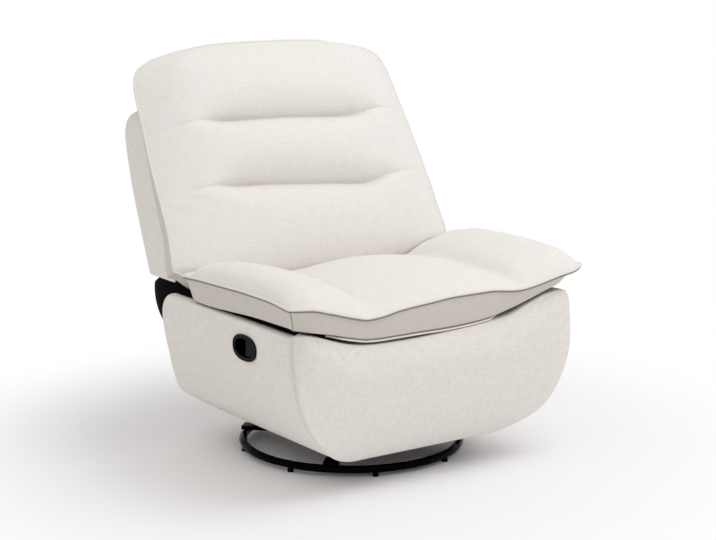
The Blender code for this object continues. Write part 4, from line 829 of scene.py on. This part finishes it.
# The sides and the footrest pad meet in an upright seam that runs back only under the body.
# Towards the rear the side flattens and its lower corner gets tighter.
seam_y = smooth_curve([
    (0.066, -0.288), (0.090, -0.307), (0.113, -0.323), (0.137, -0.333), (0.160, -0.337),
    (0.260, -0.338), (0.300, -0.336), (0.341, -0.331), (0.372, -0.3295), (0.420, -0.329)])
rear_swell = smooth_curve([
    (0.066, 0.0), (0.098, -0.003), (0.115, 0.004), (0.129, 0.0115), (0.141, 0.015), (0.155, 0.012),
    (0.173, 0.006), (0.206, -0.002), (0.247, -0.008), (0.29, -0.007), (0.33, -0.003), (0.40, 0.0)])


def board_y(z):
    """The leaning plane of the footrest board behind the pad."""
    return BOARD_TOP + (BOARD_LOW - BOARD_TOP) * (BODY_TOP - z) / (BODY_TOP - BODY_LOW)


def roll(distance, radius):
    """How far a rolled edge falls away at a distance from it."""
    s = np.clip(1 - distance / radius, 0, 1)
    return radius * (1 - np.sqrt(1 - s * s))


print("half width at the top", BODY_HALF, "and low down", round(float(half_width(0.1)), 3), "m")

# %% Side covers
SEAM_GAP, SECTION_LONG = 0.0035, 0.62  # the groove at the front, and the section's rough length
TANGENT_STEP = 0.01
FRONT_ROLL, REAR_ROLL, TOP_ROLL = 0.022, 0.018, 0.012


def side_where(sign):
    """The left side cover (sign 1) or the right one, front to rear along u, down along v."""
    def where(u, v, w):
        share = (v + 1) / 2
        x, z = section(share)
        ahead = section(np.minimum(1, share + TANGENT_STEP))
        behind = section(np.maximum(0, share - TANGENT_STEP))
        run = np.stack([ahead[0] - behind[0], ahead[1] - behind[1]])
        run /= np.linalg.norm(run, axis=0)
        front = seam_y(z) + SEAM_GAP
        over = np.maximum(0.0, z - (BODY_TOP - SIDE_CORNER))
        rear = SIDE_REAR - SIDE_CORNER + np.sqrt(np.maximum(0.0, SIDE_CORNER ** 2 - over ** 2))
        y = front + (rear - front) * (u + 1) / 2
        x = x + rear_swell(z) * ((u + 1) / 2) ** 1.5
        fall = roll(y - front, FRONT_ROLL) + roll(rear - y, REAR_ROLL)
        fall = fall + roll(share * SECTION_LONG, TOP_ROLL) * 0.9
        fall = np.minimum(fall, SIDE_T * 0.6) + 0.0003
        inward = np.where(w > 0, fall, SIDE_T)
        x, z = x + run[1] * inward, z - run[0] * inward
        return sign * x, y, z
    return where


side_u = spread(75, (-0.97, 0.035, 0.006), (0.97, 0.035, 0.008))
side_v = spread(75, (-0.965, 0.04, 0.008))
sides = {}
for label, sign in (("left", 1), ("right", -1)):
    piece, _ = sewn_box(f"side_cover_{label}", side_u, side_v, np.array([-1.0, 1.0]),
                        side_where(sign))
    piece.data.materials.append(body_linen)
    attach(piece, "chassis")
    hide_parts(f"side_panel_{label}")
    sides[label] = piece

# %% [markdown]
# ## The hole for the latch
# The release pull sits in an oval bezel on the sitter's right, and the cover is cut away
# behind it. Quads could be left out of the grid, but that gives a ragged edge. A boolean
# with an oval punch, a little smaller than the bezel, gives a clean one that stays hidden.

# %% The hole for the latch
BEZEL_LAP, OVAL_POWER, PUNCH_OUT, PUNCH_LONG = 0.008, 0.85, 0.03, 0.08
bezel_low, bezel_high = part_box("handle_bezel")
hole_y, hole_z = (bezel_low.y + bezel_high.y) / 2, (bezel_low.z + bezel_high.z) / 2
hole_w, hole_h = bezel_high.y - bezel_low.y - BEZEL_LAP, bezel_high.z - bezel_low.z - BEZEL_LAP
turn = np.linspace(0, 2 * math.pi, 40, endpoint=False)
oval_y = hole_y + hole_w / 2 * np.sign(np.cos(turn)) * np.abs(np.cos(turn)) ** OVAL_POWER
oval_z = hole_z + hole_h / 2 * np.sign(np.sin(turn)) * np.abs(np.sin(turn)) ** OVAL_POWER
punch = bmesh.new()
rim_points = [punch.verts.new((-BODY_HALF - PUNCH_OUT, a, b)) for a, b in zip(oval_y, oval_z)]
pushed = bmesh.ops.extrude_face_region(punch, geom=[punch.faces.new(rim_points)])
far_points = [item for item in pushed["geom"] if isinstance(item, bmesh.types.BMVert)]
bmesh.ops.translate(punch, vec=(PUNCH_LONG, 0, 0), verts=far_points)
bmesh.ops.recalc_face_normals(punch, faces=punch.faces)
punch_mesh = bpy.data.meshes.new("latch_punch")
punch.to_mesh(punch_mesh)
punch.free()
punch_piece = bpy.data.objects.new("latch_punch", punch_mesh)
scene.collection.objects.link(punch_piece)
cut = sides["right"].modifiers.new("latch_hole", "BOOLEAN")
cut.object = punch_piece
cut.operation = "DIFFERENCE"
cut.solver = "EXACT"
punched = sides["right"].evaluated_get(bpy.context.evaluated_depsgraph_get())
holed = bpy.data.meshes.new_from_object(punched)
sides["right"].modifiers.clear()
sides["right"].data = holed
bpy.data.objects.remove(punch_piece)
for face in holed.polygons:
    face.use_smooth = True
print("latch hole", round(hole_w, 4), "x", round(hole_h, 4), "m in", len(holed.polygons), "faces")

# %% Rear cover
REAR_T, REAR_TOP, REAR_INSET = 0.018, 0.278, 0.0125
HEM_ROLL, HEM_FALL = 0.014, 0.013
CLEAR = 0.0008  # what the covers keep from the body's own faces


def rear_where(u, v, w):
    """From the frame (w = -1) to the padded face (w = 1), bottom to top along v."""
    z = BODY_LOW + CLEAR + (REAR_TOP - BODY_LOW - 0.001) * (v + 1) / 2
    half = half_width(z) + rear_swell(z) - REAR_INSET
    x = u * half
    edge = np.minimum(half - np.abs(x), np.minimum(z - BODY_LOW, REAR_TOP - z))
    padding = REAR_T - 0.0005 - np.minimum(roll(edge, HEM_ROLL), HEM_FALL)
    return x, SIDE_REAR - CLEAR + np.where(w > 0, padding, 0.0), z


rear_u = spread(61, (-0.97, 0.04, 0.008), (0.97, 0.04, 0.008))
rear_v = spread(31, (-0.95, 0.05, 0.012), (0.95, 0.05, 0.012))
rear_cover, _ = sewn_box("rear_cover", rear_u, rear_v, np.array([-1.0, 0.0, 1.0]), rear_where)
rear_cover.data.materials.append(body_linen)
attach(rear_cover, "chassis")
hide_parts("rear_panel")

# %% [markdown]
# ## The footrest pad
# The front of the closed chair is the pad that the feet lie on when it is folded out. It is
# one plump form on a board, with a top edge that follows the sagging foot of the cushion.
# It is drawn nearly full and then filled only a little, so that its edges stay on the seams.

# %% The footrest pad
BOARD_EDGE = (0.74, 0.90)              # here the pad's back passes from board to side seam
FRONT_SWELL, SEAM_TUCK = 0.007, 0.014  # the sides swell out and turn in behind the seam
panel_top = smooth_curve([
    (-0.395, 0.402), (-0.380, 0.4055), (-0.356, 0.402), (-0.316, 0.3885), (-0.275, 0.3755),
    (-0.234, 0.3670), (-0.178, 0.3625), (-0.10, 0.3615), (0.0, 0.3640), (0.096, 0.3685),
    (0.141, 0.3725), (0.192, 0.3795), (0.232, 0.3925), (0.278, 0.4085), (0.308, 0.4165),
    (0.345, 0.4198), (0.375, 0.4155), (0.395, 0.4045)])
front_face = smooth_curve([
    (-1.0, -0.290), (-0.86, -0.324), (-0.5, -0.359), (0.2, -0.381), (0.8, -0.395), (0.94, -0.389),
    (1.0, -0.377)])
front_edge = smooth_curve([
    (-1.0, 0.012), (-0.85, 0.018), (-0.7, 0.022), (-0.55, 0.023), (-0.3, 0.024), (0.0, 0.026),
    (0.5, 0.026), (0.85, 0.022), (1.0, 0.015)])
front_sides = smooth_curve([
    (0.0, 1.0), (0.55, 1.0), (0.80, 0.97), (0.90, 0.86), (0.96, 0.62), (0.985, 0.36), (1.0, 0.0)])


def front_where(u, v, w):
    """From the board (w = -1) to the padded face (w = 1), bottom to top along v."""
    top = panel_top(u * BODY_HALF)
    z = BODY_LOW + CLEAR + (top - BODY_LOW - 2 * CLEAR) * (v + 1) / 2
    share = (w + 1) / 2
    side_y = seam_y(z) - CLEAR - front_edge(v)
    face_y = side_y + (np.minimum(front_face(v), side_y) - side_y) * front_sides(np.abs(u))
    inside = 1 - ease(*BOARD_EDGE, np.abs(u))
    rear_y = seam_y(z) - CLEAR + (board_y(z) - seam_y(z)) * inside
    swell = FRONT_SWELL * (1 - v * v) * np.sqrt(share)
    swell = swell - SEAM_TUCK * (1 - share) ** 3 * np.abs(u) ** 20
    x = u * (half_width(z) - CLEAR + swell)
    return x, rear_y + (face_y - rear_y) * share, z


front_u = spread(81, (-0.96, 0.04, 0.01), (0.96, 0.04, 0.01))
front_v = spread(41, (-0.95, 0.05, 0.0125), (0.95, 0.05, 0.0125))
front_pad, front_corners = sewn_box("footrest_pad_cover", front_u, front_v, rows, front_where)

# %% Filling the footrest pad
EDGE_HOLD = 0.6
u, v, w = front_corners.T
held = np.where(w < 0.0, 1.0, 0.0)
held = np.maximum(held, EDGE_HOLD * ((np.abs(u) > RIM) | (np.abs(v) > RIM)))
fill(front_pad, held, pressure=3.0, most=0.010)
front_pad.data.materials.append(body_linen)
soften(front_pad)
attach(front_pad, "footrest")
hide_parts("footrest_pad")

# %% [markdown]
# ## The black lining
# Under the back shell a strip of black cambric hides the mechanism: it curves round the
# recline pivot, so it stays closed while the back tips, and its hem is stapled up inside
# the shell. It could be draped by a cloth simulation, but it is pulled nearly straight, so a
# thin sheet along its profile, with a little slack in it, is all this needs.

# %% The lining's profile
PIVOT_Y, PIVOT_Z, SKIRT_R, SKIRT_HALF = 0.250, 0.385, 0.090, 0.361
HEM_LOW, HEM_HIGH = 0.424, 0.452
WALL_ROOM, HEM_GAP = 0.010, 0.002                   # the shell's wall, and the gap inside it
HEM_TAPER, TAPER_FROM, TAPER_TO = 0.19, 0.06, 0.01  # narrower inside the shell, near its end
SLACK, SLACK_ACROSS, SLACK_ALONG = 0.0006, 61, 40   # height of the ripples, and their pace
arc = np.radians(np.linspace(-60, 14, 31))
profile = [(PIVOT_Y + SKIRT_R * math.cos(a), PIVOT_Z + SKIRT_R * math.sin(a)) for a in arc]
inside_wall = WALL_ROOM * math.sqrt(1 + SHELL_SLOPE ** 2) + HEM_GAP
for z in np.linspace(HEM_LOW, HEM_HIGH, 6):
    profile.append((SHELL_REAR_Y + (z - SHELL_REAR_Z) * SHELL_SLOPE - inside_wall, z))
profile = np.array(profile)
run = np.concatenate([[0], np.cumsum(np.linalg.norm(np.diff(profile, axis=0), axis=1))])
print("lining is cut", round(2 * SKIRT_HALF, 3), "x", round(float(run[-1]), 3), "m")

# %% Lining behind the seat
columns = np.linspace(-SKIRT_HALF, SKIRT_HALF, 61)
lining_points, lining_faces, lining_cloth = [], [], []
for k, (py, pz) in enumerate(profile):
    taper = 1 - HEM_TAPER * ease(run[-1] - TAPER_FROM, run[-1] - TAPER_TO, run[k])
    for c in columns:
        slack = SLACK * math.sin(c * SLACK_ACROSS) * math.sin(run[k] * SLACK_ALONG)
        lining_points.append((c * taper, py + SWIVEL_Y + slack, pz))
for k in range(len(profile) - 1):
    for j in range(len(columns) - 1):
        a = k * len(columns) + j
        lining_faces.append((a, a + 1, a + 1 + len(columns), a + len(columns)))
        lining_cloth += [(columns[j], run[k]), (columns[j + 1], run[k]),
                         (columns[j + 1], run[k + 1]), (columns[j], run[k + 1])]
lining = skin_piece("lining_cambric", lining_points, lining_faces, lining_cloth, outward=False)
lining.data.materials.append(finish_of["black_cloth"])
thick = lining.modifiers.new("cloth_thickness", "SOLIDIFY")
thick.thickness = 0.001
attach(lining, "backrest")
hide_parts("back_skirt")

# %% [markdown]
# ## Floor, light and camera
# The studio is a white sweep under one large soft light from above and the right, with an
# even fill all round. The floor takes the shadow near the chair and turns into plain white
# further off, only where the camera, a mirror or glass shows it. A brighter lamp would also
# whiten the floor, but it would burn out the cream cloth.

# %% Floor
# Matt white paper: it takes soft shadows and has no shine.
FLOOR_HALF, SWEEP_NEAR, SWEEP_FAR = 9, 0.55, 1.25
SWEEP_MIDDLE = (0.0, -0.08, 0.0)


def seen_directly(tree):
    """1 where a surface is seen by the camera, in a mirror or through glass, else 0."""
    rays = add_node(tree, "ShaderNodeLightPath").outputs
    seen = add_node(tree, "ShaderNodeMath", {
        0: rays["Is Camera Ray"], 1: rays["Is Glossy Ray"]}, operation="MAXIMUM")
    return add_node(tree, "ShaderNodeMath", {
        0: seen.outputs[0], 1: rays["Is Transmission Ray"]}, operation="MAXIMUM")


floor_mesh = bpy.data.meshes.new("studio_floor")
square = [(x * FLOOR_HALF, y * FLOOR_HALF, 0) for x, y in ((-1, -1), (1, -1), (1, 1), (-1, 1))]
floor_mesh.from_pydata(square, [], [(0, 1, 2, 3)])
floor = bpy.data.objects.new("studio_floor", floor_mesh)
scene.collection.objects.link(floor)
paper, tree, out = new_material("white_paper_sweep")
place = add_node(tree, "ShaderNodeTexCoord")
distance = add_node(tree, "ShaderNodeVectorMath", {
    0: place.outputs["Object"], 1: SWEEP_MIDDLE}, operation="DISTANCE")
far = add_node(tree, "ShaderNodeMapRange", {
    "Value": distance.outputs["Value"], "From Min": SWEEP_NEAR, "From Max": SWEEP_FAR},
    interpolation_type="SMOOTHSTEP")
amount = add_node(tree, "ShaderNodeMath", {
    0: seen_directly(tree).outputs[0], 1: far.outputs[0]}, operation="MULTIPLY")
matt = add_node(tree, "ShaderNodeBsdfDiffuse", {"Color": linear("#FAF9FC")})
glow = add_node(tree, "ShaderNodeEmission", {"Color": linear("#FFFFFF"), "Strength": 1.0})
sweep = add_node(tree, "ShaderNodeMixShader", {
    0: amount.outputs[0], 1: matt.outputs[0], 2: glow.outputs[0]})
tree.links.new(sweep.outputs[0], out.inputs[0])
floor_mesh.materials.append(paper)
print("floor turns white from", SWEEP_NEAR, "to", SWEEP_FAR, "m off")

# %% Light
FILL = 0.75
SOFTBOX_TINT = (0.97, 0.98, 1.0)
scene.world = bpy.data.worlds.new("studio")
scene.world.use_nodes = True
tree = scene.world.node_tree
tree.nodes.clear()
seen = seen_directly(tree)
level = add_node(tree, "ShaderNodeMapRange", {
    "Value": seen.outputs[0], "To Min": FILL, "To Max": 1.0})
tint = add_node(tree, "ShaderNodeMix", {
    0: seen.outputs[0], "A": linear("#FFFEFA"), "B": linear("#FFFFFF")}, data_type="RGBA")
sky = add_node(tree, "ShaderNodeBackground", {
    "Color": tint.outputs["Result"], "Strength": level.outputs[0]})
add_node(tree, "ShaderNodeOutputWorld", {"Surface": sky.outputs[0]})


def softbox(name, place, aim, size, watts):
    """A large soft lamp at a place, turned to its aim."""
    lamp = bpy.data.lights.new(name, "AREA")
    lamp.shape = "RECTANGLE"
    lamp.size, lamp.size_y = size
    lamp.energy = watts
    lamp.color = SOFTBOX_TINT
    holder = bpy.data.objects.new(name, lamp)
    holder.location = place
    holder.rotation_euler = (Vector(aim) - Vector(place)).to_track_quat("-Z", "Y").to_euler()
    scene.collection.objects.link(holder)
    print(name, watts, "W")


softbox("overhead_softbox", (0.8, -1.3, 3.0), (0.0, -0.1, 0.4), (2.0, 2.0), watts=30)

# %% Camera
ROUND_SINE, ROUND_COSINE = 0.5736, 0.8192  # of 35 degrees, the angle round from the front
PITCH = math.radians(12.2)
SENSOR_MM, LENS_MM = 36.0, 108.2
lens = bpy.data.cameras.new("portrait_lens")
lens.sensor_width = SENSOR_MM
lens.lens = LENS_MM
eye = bpy.data.objects.new("camera", lens)
eye.location = (-2.952, -4.295, 1.563)
look = Vector((ROUND_SINE * math.cos(PITCH), ROUND_COSINE * math.cos(PITCH), -math.sin(PITCH)))
eye.rotation_euler = look.to_track_quat("-Z", "Y").to_euler()
scene.collection.objects.link(eye)
scene.camera = eye
scene.view_settings.view_transform = "Standard"
print("camera stands", round(eye.location.length, 2), "m off with a lens of", LENS_MM, "mm")

# %% [markdown]
# ## The last step
# A dressed chair should be as big as its frame says. Padding may stand a few millimetres
# past the CAD box. The cell below only brings the scene up to date.

# %% Last update
bpy.context.view_layer.update()
